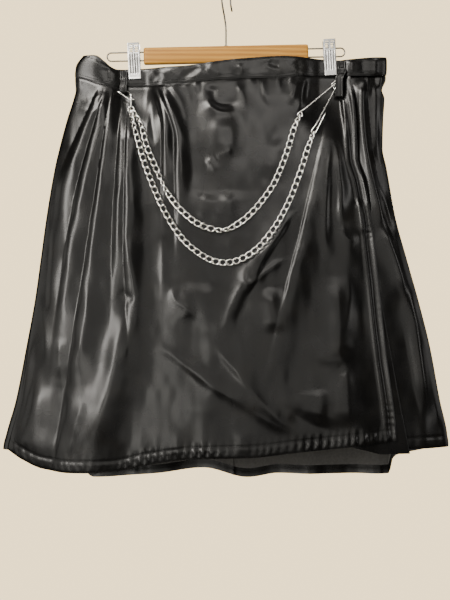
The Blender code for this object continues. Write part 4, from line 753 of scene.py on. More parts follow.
def front_relief(x, down, up, from_top):
    height = creased(FRONT_CREASES, FRONT_GATHERS, FRONT_UNEVEN, x, down, 1 + t_at(x, down), 0.05)
    height = np.minimum(height, under_hardware(x, down))
    edge = at_height(FREE_EDGE, down) - x
    height = np.maximum(height, -0.9 - 3.0 * ease(12, 70, edge))
    sewn = sum(line.height * bell(edge - line.at, line.width) for line in EDGE_LINES)
    height += (sewn - 0.9 * np.exp(-edge / 0.8)) * ease(150, 200, down)
    for crinkle in EDGE_CRINKLES:
        wave = np.sin(2 * math.pi * (down + 3 * unevenness(down, x * 0, 30.0, 9)) / crinkle.spacing)
        wave *= bell(down - crinkle.down, crinkle.reach)
        height += crinkle.height * wave * bell(edge - 0.5 * FREE_EDGE_STITCH, 7.0)
    return height + sewn_ends(FRONT_PUCKERS, x, up, from_top)


def right_relief(x, down, up, from_top):
    height = creased(RIGHT_CREASES, RIGHT_GATHERS, RIGHT_UNEVEN, x, down, 1 - t_at(x, down), 0.04)
    edge = x - at_height(FREE_EDGE, down)
    height = np.minimum(height, 0.3 + 0.7 * np.maximum(edge - 3, 0))
    return height + sewn_ends(FRONT_PUCKERS, x, up, from_top)


def back_relief(x, down, up, from_top):
    inwards = 1 - np.abs(t_at(x, down))
    height = creased(BACK_CREASES, BACK_GATHERS, BACK_UNEVEN, x, down, inwards, 0.05)
    seam = x - CENTRE_BACK
    height += 0.3 * bell(np.abs(seam) - 5, 3.0) - 0.9 * bell(seam, 1.6)
    return height + sewn_ends(BACK_PUCKERS, x, up, from_top)


def band_relief(creases, x, down, seed):
    from_top = np.maximum(down - band_edge(x, "top"), 0)
    from_bottom = np.maximum(band_edge(x, "bottom") - down, 0)
    left_end = 1 - ease(-212, -186, x)
    uneven = 0.5 * unevenness(x, down, 22.0, seed) + 0.2 * unevenness(x, down, 11.0, seed + 1)
    height = crease_height(creases, x, down)
    height += uneven * (1 - 0.8 * left_end) + 0.07 * from_bottom * left_end
    for away in (from_bottom - TOPSTITCH, from_bottom - SECOND_TOPSTITCH, from_top - TOPSTITCH):
        height -= 0.35 * bell(away, 0.9)
    return height * (1 - pinch(x, down)) - np.exp(-from_top / 1.4) - 0.9 * np.exp(-from_bottom / 1.4)


# Meshes -------------------------------------------------------------------------------------------


def mesh_object(name, points, faces, materials, kinds=None, sharp=None):
    """A smooth-shaded mesh from points in millimetres. "kinds" gives each face's material."""
    mesh = bpy.data.meshes.new(name)
    mesh.from_pydata((np.asarray(points) * MM).tolist(), [], faces)
    for material in materials:
        mesh.materials.append(material)
    if kinds is not None:
        mesh.polygons.foreach_set("material_index", kinds)
    mesh.shade_smooth()
    if sharp:
        mesh.set_sharp_from_angle(angle=math.radians(sharp))
    mesh.update()
    obj = bpy.data.objects.new(name, mesh)
    bpy.context.scene.collection.objects.link(obj)
    return obj


def ridden(obj, slot, *nodes):
    """Puts a piece on the one body and hides the solids that it stands for. Its slot is not used."""
    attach(obj, "root")
    if nodes:
        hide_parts(*nodes)


def normals_of(grid):
    """Unit normals of a grid of points. For rows that run down and columns to the right, they face -Y."""
    down, across = np.gradient(grid, axis=0), np.gradient(grid, axis=1)
    normal = np.cross(down, across)
    return normal / np.maximum(np.linalg.norm(normal, axis=2), 1e-9)[:, :, None]


def shell(name, grid, thickness, materials, turned_up=None):
    """A wall of cloth round a grid of points: the outside, a coarser inside, and the rim between them.

    "turned_up" marks the points where the inside shows the outside's material, as a hem does.
    """
    rows, columns = grid.shape[:2]
    half = normals_of(grid) * np.broadcast_to(thickness, (rows, columns))[:, :, None] / 2
    pick_rows = np.unique(np.append(np.arange(0, rows, INSIDE_STEP), rows - 1))
    pick_columns = np.unique(np.append(np.arange(0, columns, INSIDE_STEP), columns - 1))
    back = (grid - half)[np.ix_(pick_rows, pick_columns)]
    outer = np.arange(rows * columns).reshape(rows, columns)
    inner = np.arange(back.shape[0] * back.shape[1]).reshape(back.shape[:2]) + rows * columns
    outside, inside = quads(outer), quads(inner)[:, ::-1]
    faces = outside.tolist() + inside.tolist()
    kinds = np.ones(len(faces), int)
    kinds[: len(outside)] = 0
    if turned_up is not None:
        marked = turned_up[np.ix_(pick_rows, pick_columns)]
        kinds[len(outside) :] = np.where(marked[:-1, :-1] & marked[1:, 1:], 0, 1).reshape(-1)
    ends_rows, ends_columns = (rows - 1 - pick_rows)[::-1], (columns - 1 - pick_columns)[::-1]
    for fine, coarse, picks in (
        (outer[0], inner[0], pick_columns),
        (outer[:, -1], inner[:, -1], pick_rows),
        (outer[-1, ::-1], inner[-1, ::-1], ends_columns),
        (outer[::-1, 0], inner[::-1, 0], ends_rows),
    ):
        for k, (a, b) in enumerate(zip(picks, picks[1:])):
            faces.append([*fine[a : b + 1].tolist(), int(coarse[k + 1]), int(coarse[k])])
    kinds = np.concatenate([kinds, np.zeros(len(faces) - len(kinds), int)])
    points = np.concatenate([(grid + half).reshape(-1, 3), back.reshape(-1, 3)])
    return mesh_object(name, points, faces, materials, kinds, 55)


def quads(index):
    """The faces of a grid of vertex numbers, facing the way that normals_of says."""
    corners = (index[:-1, :-1], index[1:, :-1], index[1:, 1:], index[:-1, 1:])
    return np.stack(corners, axis=2).reshape(-1, 4)


def loft(rings, closed=False):
    """(points, faces) of a skin over rings of points, with both ends capped or joined to each other."""
    rings = np.asarray(rings)
    count, around = rings.shape[:2]
    index = np.arange(count * around).reshape(count, around)
    index = np.hstack([index, index[:, :1]])
    if closed:
        index = np.vstack([index, index[:1]])
    faces = quads(index)[:, [0, 3, 2, 1]].tolist()
    if not closed:
        faces += [index[0, -2::-1].tolist(), index[-1, :-1].tolist()]
    return rings.reshape(-1, 3), faces


def turns(count):
    return 2 * math.pi * np.arange(count) / count


def arc(middle, radius, degrees):
    """The points (x, y) of an arc at these angles."""
    angles = [math.radians(a) for a in degrees]
    return [(middle[0] + radius * math.cos(a), middle[1] + radius * math.sin(a)) for a in angles]


def unit(direction):
    return direction / np.linalg.norm(direction)


def lengths_along(line):
    """The length of a line from its start up to each of its points."""
    return np.concatenate([[0], np.cumsum(np.linalg.norm(np.diff(line, axis=0), axis=1))])


def point_at(line, along, length):
    """The point, or points, of a line at a length from its start, where "along" is its lengths_along."""
    return np.stack([np.interp(length, along, line[:, axis]) for axis in range(3)], axis=-1)


def tube_points(line, radius, sides_round, closed=False):
    """(points, faces) of a round wire along a line, with turned frames that don't twist."""
    line = np.asarray(line, float)
    if closed:
        ahead = np.roll(line, -1, axis=0) - np.roll(line, 1, axis=0)
    else:
        ahead = np.gradient(line, axis=0)
    ahead /= np.linalg.norm(ahead, axis=1)[:, None]
    out = np.cross(ahead[0], (0.3, 0.9, 0.2))
    outs = []
    for direction in ahead:
        out = unit(out - direction * np.dot(out, direction))
        outs.append(out)
    outs = np.array(outs)
    others = np.cross(ahead, outs)
    if closed:  # the frame's turn over the whole loop is spread along it
        back = outs[-1] - ahead[0] * np.dot(outs[-1], ahead[0])
        turn = math.atan2(np.dot(back, others[0]), np.dot(back, outs[0]))
        angles = -turn * np.arange(len(line))[:, None] / (len(line) - 1)
        outs = outs * np.cos(angles) + others * np.sin(angles)
        others = np.cross(ahead, outs)
    radii = np.broadcast_to(radius, (len(line),))[:, None, None]
    a = turns(sides_round)[None, :, None]
    return loft(line[:, None] + (outs[:, None] * np.cos(a) + others[:, None] * np.sin(a)) * radii, closed)


def join(parts):
    """One (points, faces) from many."""
    points, faces, count = [], [], 0
    for some_points, some_faces in parts:
        points.append(some_points)
        faces += [tuple(i + count for i in face) for face in some_faces]
        count += len(some_points)
    return np.concatenate(points), faces


def finished(name, parts, look, slot, *nodes, sharp=None):
    """Joins the parts, (points, faces) each, into one piece on the body."""
    points, faces = join(parts)
    ridden(mesh_object(name, points, faces, [LOOKS[look]], sharp=sharp), slot, *nodes)


def round_end(line, radius, steps=4):
    """The line's points and radii with both ends drawn in to a dome."""
    line = np.asarray(line, float)
    first, last = unit(line[0] - line[1]), unit(line[-1] - line[-2])
    angles = np.linspace(0, math.pi / 2 * 0.97, steps + 1)[1:]
    head = [line[0] + first * radius * math.sin(a) for a in angles[::-1]]
    tail = [line[-1] + last * radius * math.sin(a) for a in angles]
    tips = [radius * math.cos(a) for a in angles]
    return np.concatenate([head, line, tail]), np.array(tips[::-1] + [radius] * len(line) + tips)


def revolve(profile, centre, axis, sides_round=24):
    """(points, faces) of a turned part: profile rows are (along, radius) from the centre on the axis."""
    turn = np.array(Vector(axis).to_track_quat("Z", "Y").to_matrix())
    a = turns(sides_round)
    rings = [np.stack([r * np.cos(a), r * np.sin(a), 0 * a + along], axis=1) for along, r in profile]
    return loft(np.array(rings) @ turn.T + np.array(centre))


# Materials ----------------------------------------------------------------------------------------


class Look:
    """A Principled material whose colour, roughness and bump come from nodes in object space."""

    def __init__(self, name, colour, roughness, metallic=0.0, **sockets):
        self.material = bpy.data.materials.new(name)
        self.material.use_nodes = True
        self.tree = self.material.node_tree
        self.shader = self.tree.nodes["Principled BSDF"]
        sockets.update(Base_Color=(*colour, 1.0), Roughness=roughness, Metallic=metallic)
        self.fill(self.shader, {socket.replace("_", " "): value for socket, value in sockets.items()})
        self.place = self.node("ShaderNodeTexCoord").outputs["Object"]
        self.bumped = None
        LOOKS[name] = self.material

    def fill(self, node, inputs):
        """Sets a node's inputs to numbers, or joins them to the outputs of other nodes."""
        for socket, value in inputs.items():
            if isinstance(value, bpy.types.NodeSocket):
                self.tree.links.new(value, node.inputs[socket])
            else:
                node.inputs[socket].default_value = value
        return node

    def node(self, kind, inputs=None, **settings):
        made = self.tree.nodes.new(kind)
        for key, value in settings.items():
            setattr(made, key, value)
        return self.fill(made, inputs or {})

    def stretched(self, scale, turned=(0, 0, 0)):
        """Object coordinates scaled unevenly."""
        inputs = {"Scale": scale, "Rotation": turned, "Vector": self.place}
        return self.node("ShaderNodeMapping", inputs).outputs["Vector"]

    def noise(self, scale, detail=2.0, where=None):
        inputs = {"Scale": scale, "Detail": detail, "Vector": where or self.place}
        return self.node("ShaderNodeTexNoise", inputs).outputs["Fac"]

    def cells(self, scale):
        inputs = {"Scale": scale, "Vector": self.place}
        return self.node("ShaderNodeTexVoronoi", inputs, feature="DISTANCE_TO_EDGE").outputs["Distance"]

    def bands(self, scale, distortion, where=None, direction="X"):
        inputs = {"Scale": scale, "Distortion": distortion, "Vector": where or self.place}
        settings = {"wave_type": "BANDS", "bands_direction": direction}
        return self.node("ShaderNodeTexWave", inputs, **settings).outputs["Fac"]

    def colours(self, value, *stops):
        """A colour ramp on the base colour, from stops (at, colour)."""
        ramp = self.node("ShaderNodeValToRGB", {"Fac": value})
        while len(ramp.color_ramp.elements) < len(stops):
            ramp.color_ramp.elements.new(0.5)
        for element, (at, colour) in zip(ramp.color_ramp.elements, stops):
            element.position = at
            element.color = (*colour, 1.0)
        self.fill(self.shader, {"Base Color": ramp.outputs["Color"]})

    def mottled(self, value, low, high):
        self.colours(value, (0.3, low), (0.7, high))

    def rough(self, value, low, high):
        """The roughness from low to high, where a noise goes from 0.3 to 0.7."""
        inputs = {"Value": value, "From Min": 0.3, "From Max": 0.7, "To Min": low, "To Max": high}
        spread = self.node("ShaderNodeMapRange", inputs)
        self.fill(self.shader, {"Roughness": spread.outputs["Result"]})

    def bump(self, height, strength, depth):
        inputs = {"Strength": strength, "Distance": depth, "Height": height}
        if self.bumped is not None:
            inputs["Normal"] = self.bumped
        self.bumped = self.node("ShaderNodeBump", inputs).outputs["Normal"]
        self.fill(self.shader, {"Normal": self.bumped})


def make_looks():
    leather = Look("leather", (0.0035, 0.0033, 0.0031), 0.3, Specular_IOR_Level=0.41)
    leather.colours(
        leather.noise(26.0),
        (0.3, (0.0022, 0.0021, 0.0021)),
        (0.55, (0.0033, 0.0031, 0.0029)),
        (0.8, (0.0056, 0.0049, 0.0041)),
    )
    leather.rough(leather.noise(24.0), 0.21, 0.30)
    leather.bump(leather.noise(60.0, 2.0, leather.stretched((1.0, 1.0, 0.6))), 0.08, 0.0006)
    leather.bump(leather.cells(700.0), 0.1, 0.0001)

    inside = Look("backing", (0.062, 0.061, 0.058), 0.93, Sheen_Weight=0.15, Sheen_Roughness=0.6)
    inside.mottled(inside.noise(300.0, 4.0), (0.050, 0.049, 0.046), (0.074, 0.072, 0.069))
    inside.bump(inside.bands(520.0, 1.0), 0.25, 0.0002)
    inside.bump(inside.bands(520.0, 1.0, direction="Z"), 0.25, 0.0002)

    thread = Look("thread", (0.006, 0.006, 0.006), 0.9, Specular_IOR_Level=0.15)
    thread.mottled(thread.noise(500.0), (0.004, 0.004, 0.004), (0.010, 0.0095, 0.009))
    thread.bump(thread.bands(900.0, 0.5, thread.stretched((1, 1, 1), (0.6, 0.5, 0.7))), 0.5, 0.0002)

    silver = Look("silver", (0.80, 0.785, 0.76), 0.2, 1.0)
    silver.mottled(silver.noise(60.0, 3.0), (0.84, 0.82, 0.77), (0.95, 0.93, 0.89))
    silver.rough(silver.noise(140.0, 4.0), 0.14, 0.24)
    silver.bump(silver.noise(700.0), 0.08, 0.0001)

    steel = Look("steel", (0.60, 0.60, 0.585), 0.3, 1.0)
    steel.mottled(steel.noise(45.0, 4.0), (0.50, 0.50, 0.49), (0.66, 0.655, 0.64))
    steel.rough(steel.noise(180.0, 3.0), 0.3, 0.4)

    wire = Look("wire", (0.18, 0.175, 0.165), 0.35, 1.0)
    wire.rough(wire.noise(200.0, 3.0), 0.26, 0.42)

    wood = Look("wood", (0.42, 0.20, 0.06), 0.5, Specular_IOR_Level=0.3, Coat_Weight=0.06, Coat_Roughness=0.3)
    along = wood.stretched((1.2, 14.0, 14.0))
    grain = {"Factor": 0.45, "A": wood.bands(3.2, 5.0, along, "Z"), "B": wood.noise(16.0, 6.0, along)}
    wood.colours(
        wood.node("ShaderNodeMix", grain, data_type="FLOAT").outputs["Result"],
        (0.15, (0.33, 0.138, 0.014)),
        (0.5, (0.43, 0.195, 0.023)),
        (0.85, (0.515, 0.255, 0.040)),
    )
    fine = wood.noise(60.0, 5.0, wood.stretched((1.0, 40.0, 40.0)))
    wood.rough(fine, 0.42, 0.56)
    wood.bump(fine, 0.18, 0.0002)

    rubber = Look("rubber", (0.02, 0.02, 0.02), 0.78)
    rubber.mottled(rubber.noise(90.0, 3.0), (0.014, 0.014, 0.014), (0.028, 0.028, 0.027))
    rubber.bump(rubber.noise(1500.0), 0.4, 0.0001)

    stage = Look("stage", (0.78, 0.755, 0.71), 0.9)
    stage.mottled(stage.noise(3.0), (0.76, 0.735, 0.69), (0.80, 0.775, 0.73))


LOOKS = {}
make_looks()
CLOTH_LOOKS = (LOOKS["leather"], LOOKS["backing"])


# Cloth --------------------------------------------------------------------------------------------


def stack(x, y, down):
    return np.stack([x, y, -down], axis=-1)


def hem_thickness(up):
    """The wall is a little thicker where the hem is turned up."""
    return CLOTH + 0.5 * (1 - ease(HEM_DEPTH - 0.5, HEM_DEPTH + 2, up))


def raised(grid, relief, up, from_top, outward=1.0):
    """The grid moved out by the relief along its normals."""
    height = relief(grid[:, :, 0], -grid[:, :, 2], up, from_top)
    return grid + normals_of(grid) * (height * outward)[:, :, None]


def hung(t_of, hem, near_hem, v):
    """(t, down, up, from_top) of a panel's grid, whose rows v run from the band down to the hem."""
    top = panel_top(x_at(t_of(NEAR_TOP), NEAR_TOP))
    bottom = through(hem, "x", "down", x_at(t_of(near_hem), near_hem))
    down = top + (bottom - top) * v
    return t_of(down), down, (bottom - top) * (1 - v), (bottom - top) * v


def front_overlap():
    """The wide front panel, from the left side seam to its free edge on the right."""
    s = np.linspace(0, 1, int(OVERLAP_SIZE[0] / CLOTH_STEP))[None, :]
    v = np.linspace(0, 1, int(OVERLAP_SIZE[1] / CLOTH_STEP))[:, None]

    def t_of(down):
        start = left_seam(down)
        return start + (t_at(at_height(FREE_EDGE, down), down) - start) * s

    t, down, up, from_top = hung(t_of, FRONT_HEM, NEAR_FRONT_HEM, v)
    grid = stack(x_at(t, down) + np.where(s == 0, HALF_GAP, 0), cloth_y(-1, t, down), down)
    grid = raised(grid, front_relief, up, from_top)
    piece = shell("cloth_front_overlap", grid, hem_thickness(up), CLOTH_LOOKS, up < HEM_DEPTH)
    ridden(piece, "leather", "front_overlap_panel")
    return grid


def right_panel():
    """The panel under the overlap: folded back on itself in one knife pleat, and on to the right."""
    v = np.linspace(0, 1, int(RIGHT_LENGTH / CLOTH_STEP))
    columns, tops, bottoms, loose = [], [], [], []

    def edge(down):
        return at_height(PLEAT_EDGE, down)

    def layer(down):
        return at_height(PLEAT_LAYER, down)

    def fold_back(down):
        return edge(down) - at_height(PLEAT_DEPTH, down)

    def drop(down):
        return at_height(UNDER_DROP, down)

    def last_drop(down, t):
        """The third layer comes forward again as the skirt closes at its right edge."""
        return (drop(down) + 2 * layer(down)) * np.minimum(1.0, swell(t) / swell(t_at(fold_back(down), down)))

    def add(x_of, y_of, hem, is_loose=0.0):
        top = float(panel_top(x_of(NEAR_TOP)))
        down = top + (hem - top) * v
        x = x_of(down)
        columns.append(stack(x, y_of(x, down), down))
        tops.append(top)
        bottoms.append(hem)
        loose.append(is_loose)

    def under(x_of, drop_of, hem_x, is_loose=0.0):
        def y_of(x, down):
            t = t_at(x, down)
            return cloth_y(-1, t, down) + drop_of(down, t)

        add(x_of, y_of, float(through(RIGHT_HEM, "x", "down", hem_x)), is_loose)

    def turned(a, line, layers, hem_x):
        """A column of a fold's round turn, below so many layers of cloth."""
        under(
            lambda d: line(d) + layer(d) / 2 * (1 - math.cos(a)) * (-1 if line is edge else 1),
            lambda d, t: drop(d) + layer(d) / 2 * (layers + math.sin(a)),
            hem_x,
        )

    for s in np.linspace(0, 0.97, UNDERLAP_COLUMNS):
        under(
            lambda d, s=s: at_height(UNDER_EDGE, d) * (1 - s) + (edge(d) - layer(d) / 2) * s,
            lambda d, t: drop(d),
            UNDERLAP_HEM[0] + (UNDERLAP_HEM[1] - UNDERLAP_HEM[0]) * s,
        )
    angles = [math.radians(a) for a in range(-90, 91, 20)]
    for a in angles:
        turned(a, edge, 1, PLEAT_HEM)
    for s in (0.25, 0.5, 0.75):
        under(
            lambda d, s=s: (edge(d) - layer(d) / 2) * (1 - s) + (fold_back(d) + layer(d) / 2) * s,
            lambda d, t: drop(d) + layer(d),
            PLEAT_HEM,
        )
    for a in angles:
        turned(a, fold_back, 3, PLEAT_HEM if a < 0 else RIGHT_HEM_ENDS[0])
    for s in np.linspace(0, 1, RIGHT_COLUMNS)[1:]:
        under(
            lambda d, s=s: (fold_back(d) + layer(d) / 2) * (1 - s) + x_at(1.0, d) * s,
            last_drop,
            RIGHT_HEM_ENDS[0] + (RIGHT_HEM_ENDS[1] - RIGHT_HEM_ENDS[0]) * s,
            float(ease(0.0, 0.12, s)),
        )
    for f in (0.3, 0.65, 1.0):
        add(
            lambda d, f=f: x_at(1 - (1 - right_seam(d)) * f, d) + (HALF_GAP if f == 1.0 else 0),
            lambda x, d, f=f: cloth_y(1, 1 - (1 - right_seam(d)) * f, d),
            RIGHT_HEM[-1].down,
        )
    grid = np.stack(columns, axis=1)
    length = (np.array(bottoms) - np.array(tops))[None, :]
    up, from_top = length * (1 - v[:, None]), length * v[:, None]
    loose = np.array(loose)[None, :]

    def relief(x, down, up, from_top):
        return right_relief(x, down, up, from_top) * loose + (1 - loose) * -0.1

    grid = raised(grid, relief, up, from_top)
    piece = shell("cloth_front_right", grid, CLOTH, CLOTH_LOOKS, up < HEM_DEPTH)
    ridden(piece, "leather", "front_right_panel")
    return grid


def back_panels():
    """The back, in two halves with a seam down the middle. The left half wraps round the left edge."""

    def centre(down):
        return t_at(CENTRE_BACK, down)

    grids = []
    v = np.linspace(0, 1, int(BACK_LENGTH / BACK_STEP))[:, None]
    for name, starts, ends, width, shifts, flat, area in (
        ("left", lambda d: -1.0 + 0 * d, centre, 370, (0, -GAP / 2), (0.39, 0.68), 0.225),
        ("right", centre, right_seam, 345, (GAP / 2, -HALF_GAP), (0.36, 0.68), 0.205),
    ):
        s = np.linspace(0, 1, int(width / BACK_STEP))[None, :]

        def t_of(down):
            return starts(down) + (ends(down) - starts(down)) * s

        t, down, up, from_top = hung(t_of, BACK_HEM, NEAR_BACK_HEM, v)
        x = x_at(t, down) + np.where(s == 0, shifts[0], 0) + np.where(s == 1, shifts[1], 0)
        grid = raised(stack(x, cloth_y(1, t, down), down), back_relief, up, from_top, -1.0)
        if name == "left":
            wrap = left_wrap(v[:, 0])
            grid = np.concatenate([wrap, grid], axis=1)
            up = np.concatenate([np.repeat(up[:, :1], wrap.shape[1], axis=1), up], axis=1)
        grid, up = grid[:, ::-1], up[:, ::-1]
        grids.append(grid)
        piece = shell(f"cloth_back_{name}", grid, hem_thickness(up), CLOTH_LOOKS, up < HEM_DEPTH)
        ridden(piece, "leather", f"back_panel_{name}")
    return grids


def left_wrap(v):
    """The back's strip that comes round the left edge to the side seam."""
    columns = []
    for f in (1.0, 0.75, 0.5, 0.25, 0.1):
        top = float(panel_top(x_at(-1 + (left_seam(NEAR_TOP) + 1) * f, NEAR_TOP)))
        down = top + (BACK_HEM[0].down - top) * v
        t = -1 + (left_seam(down) + 1) * f
        shift = -HALF_GAP if f == 1.0 else 0.0
        columns.append(stack(x_at(t, down) + shift, cloth_y(-1, t, down), down))
    return np.stack(columns, axis=1)


def waistbands():
    """The front and the back band. The front one wraps round the right edge, the back one the left."""
    seam_left, seam_right = float(left_seam(BAND_MIDDLE)), float(right_seam(BAND_MIDDLE))
    count = int(BAND_SIZE[0] / BAND_STEP)
    rows = np.linspace(0, 1, int(BAND_SIZE[1] / BAND_STEP))
    grids = []

    def column(side, t, shift=0.0):
        x = float(x_at(t, BAND_MIDDLE))
        top, bottom = float(band_edge(x, "top")), float(band_edge(x, "bottom"))
        down = top + (bottom - top) * rows
        return stack(x_at(t, down) + shift, cloth_y(side, t, down), down)

    front = [column(-1, seam_left, HALF_GAP)]
    front += [column(-1, t) for t in np.linspace(seam_left, 1.0, count)[1:]]
    front += [column(1, 1 - (1 - seam_right) * f) for f in (0.3, 0.65)]
    front += [column(1, seam_right, HALF_GAP)]
    back = [column(-1, seam_left, -HALF_GAP)]
    back += [column(-1, -1 + (seam_left + 1) * f) for f in (0.6, 0.25)]
    back += [column(1, t) for t in np.linspace(-1.0, seam_right, count)[:-1]]
    back += [column(1, seam_right, -HALF_GAP)]
    for name, columns, creases, outward, seed in (
        ("front", front, BAND_CREASES, 1.0, 41),
        ("back", back, BACK_BAND_CREASES, -1.0, 51),
    ):
        grid = np.stack(columns, axis=1)
        height = band_relief(creases, grid[:, :, 0], -grid[:, :, 2], seed)
        grid = grid + normals_of(grid) * (height * outward)[:, :, None]
        if name == "back":
            grid = grid[:, ::-1]
        grids.append(grid)
        piece = shell(f"cloth_band_{name}", grid, BAND, (LOOKS["leather"], LOOKS["leather"]))
        ridden(piece, "leather", f"waistband_{name}")
    return grids


def strap(name, span, bottom, slant):
    """A belt loop: sewn to the band's top, pulled down over it and turned back up behind itself."""
    middle, half = sum(span) / 2, (span[1] - span[0]) / 2
    top = float(band_edge(middle, "top")) + 3
    low_edge = float(band_edge(middle, "bottom"))
    xs = np.linspace(span[0] - slant, span[1], 7)

    def foremost(start, end):
        return min(float(front_y(xs, down).min()) for down in np.linspace(start, end, 5))

    seat = GAP + SPARE / 2 + STRAP_WALL / 2
    over_band = foremost(top, low_edge) - BAND / 2 - seat
    inner = foremost(low_edge, bottom) - CLOTH / 2 - seat - SPARE / 2
    outer = inner - 2 * STRAP_TURN
    turn_down = bottom - STRAP_TURN - STRAP_WALL / 2
    path = [(over_band, top), (over_band, low_edge - 12)]
    path += [((over_band + outer) / 2, low_edge - 6), (outer, min(low_edge, turn_down - 3))]
    path += [(outer, turn_down)]
    path += arc((inner - STRAP_TURN, turn_down), STRAP_TURN, range(155, 24, -26))
    path += [(inner, turn_down), (inner, low_edge + 1.2)]
    line = dense(path, 0.8)
    share = np.linspace(-1, 1, 2 * STRAP_HALF + 1)[None, :]
    shift = -slant * ease(low_edge - 4, low_edge + 6, line[:, 1])[:, None]
    x = middle + share * half + shift
    grid = stack(x, *np.broadcast_arrays(line[:, :1], line[:, 1:], x)[:2])
    folded = 0.35 * bell(np.abs(share) - 0.8, 0.16) - 0.25 * bell(np.abs(share) - STRAP_STITCH, 0.09)
    grid = grid + normals_of(grid) * (folded * np.ones(x.shape))[:, :, None]
    piece = shell(f"cloth_{name}", grid, STRAP_WALL, (LOOKS["leather"], LOOKS["leather"]))
    ridden(piece, "leather", name)
    run = float(lengths_along(line)[-1])
    for side in (-STRAP_STITCH, STRAP_STITCH):
        k = int(round((side + 1) * STRAP_HALF))
        STITCH_ROWS.append(grid[:, k] + normals_of(grid)[:, k] * (STRAP_WALL / 2))
    return inner - STRAP_TURN


# Stitches -----------------------------------------------------------------------------------------

STITCH_ROWS = []  # each a line of points on the cloth's outside


def in_from_end(line, distance):
    """The point of a line that lies that far in from its last point."""
    back = line[::-1]
    return point_at(back, lengths_along(back), distance)


def row_on(grid, up, thickness):
    """Points on the outside of a cloth's grid, one in each column, "up" millimetres above its lower end."""
    outside = grid + normals_of(grid) * thickness / 2
    return np.array([in_from_end(column, up) for column in np.swapaxes(outside, 0, 1)])


def stitches():
    """All topstitching: short rounded threads that dip into the cloth at both ends."""
    parts = []
    for line in STITCH_ROWS:
        along = lengths_along(line)
        for k in range(int(along[-1] / STITCH_PITCH)):
            lengths = (k + 0.5) * STITCH_PITCH + STITCH_LENGTH * np.array([-0.5, -0.25, 0.25, 0.5])
            thread = point_at(line, along, lengths)
            parts.append(tube_points(thread, THREAD * np.array([0.5, 1, 1, 0.5]), 5))
    finished("topstitching", parts, "thread", "leather")


def sew(front, right, backs, bands):
    outside = front + normals_of(front) * CLOTH / 2
    STITCH_ROWS.append(np.array([in_from_end(row, FREE_EDGE_STITCH) for row in outside[6:]]))
    # the right panel is sewn on its underlap and past the pleat, but not in its folds
    for grid in (front, right[:, UNDERLAP_COLUMNS + PLEAT_COLUMNS :], right[:, :UNDERLAP_COLUMNS], *backs):
        STITCH_ROWS.append(row_on(grid, HEM_DEPTH, CLOTH))
    for grid in bands:
        for up in (TOPSTITCH, SECOND_TOPSTITCH):
            STITCH_ROWS.append(row_on(grid, up, BAND))


# Hanger -------------------------------------------------------------------------------------------

BAR_PLACE = Matrix.Translation((0, 0, -BAR_DOWN)) @ Matrix.Rotation(BAR_TILT, 4, "Y")


def placed(points, matrix):
    turn, shift = np.array(matrix)[:3, :3], np.array(matrix)[:3, 3]
    return np.asarray(points) @ turn.T + shift


def bar():
    """The wooden bar: a rounded section that draws in a little at both ends."""
    a = np.linspace(math.pi / 2, 0, 7)
    end = BAR_LENGTH / 2 - BAR_CORNER * (1 - np.sin(a))
    end_inset = BAR_CORNER * (1 - np.cos(a)) * 0.6
    middle = np.linspace(-end[-1], end[-1], 40)[1:-1]
    x = np.concatenate([end, -middle, -end[::-1]])[:, None]
    inset = np.concatenate([end_inset, 0 * middle, end_inset[::-1]])[:, None]
    around = turns(40)[None, :] + math.pi / 40
    section = []
    for half, share in ((BAR_DEPTH / 2, np.cos(around)), (BAR_HEIGHT / 2, np.sin(around))):
        section.append(np.sign(share) * np.maximum(half - inset - BAR_CORNER, 0) + BAR_CORNER * share)
    points, faces = loft(np.stack(np.broadcast_arrays(x, *section), axis=-1))
    finished("bar_wood", [(placed(points, BAR_PLACE), faces)], "wood", "wood", "hanger_bar", sharp=60)


def hook():
    """A wire that rises from the bar, sweeps to one side and arches over the hanging point."""
    path = [(p.u, -p.down) for p in HOOK_STEM]
    path += arc((0, HOOK_WIRE - HOOK_RADIUS), HOOK_RADIUS, range(180, -1, -12))
    path += [(p.u, -p.down) for p in HOOK_TIP]
    c, s = math.cos(HOOK_TURN), math.sin(HOOK_TURN)
    line, radii = round_end(dense([(u * c, u * s, z) for u, z in path], 1.5), HOOK_WIRE)
    collar = revolve(HOOK_COLLAR, (0, 0, -BAR_DOWN + BAR_HEIGHT / 2), (0, 0, 1))
    parts = [tube_points(line, radii, 16), collar]
    finished("hook_wire", parts, "wire", "steel", "hanger_hook", sharp=50)


def clip_loops():
    """The two wire loops on which the clips slide, each held in the bar's end."""
    half = LOOP_SPACING / 2
    turn = LOOP_REACH - half
    straight = np.linspace(BAR_LENGTH / 2 - SOCKET_DEPTH + 2, turn - 2, 12)
    path = [(x, half) for x in straight] + arc((turn, 0), half, range(90, -91, -10))
    path += [(x, -half) for x in straight[::-1]]
    for name, side in (("left", -1), ("right", 1)):
        line = placed([(side * x, 0, z) for x, z in path], BAR_PLACE)
        parts = [tube_points(line, LOOP_WIRE, 14)]
        finished(f"loop_wire_{name}", parts, "wire", "steel", f"hanger_loop_{name}", sharp=60)


# The slots and grooves pressed into a clip's jaw
SLOT_UPS = (24.6, 21.2, 17.8, 14.4)
SLOT_HALF_HEIGHT, SLOT_INNER, SLOT_OUTER = 1.1, 1.3, 7.2
GROOVES_ACROSS = (-5.7, -1.9, 1.9, 5.7)
GROOVE_TOP, GROOVE_BOTTOM, GROOVE_DEPTH, GROOVE_WIDTH = 10.0, -19.5, 0.72, 0.85
JAW_STEP = 0.5


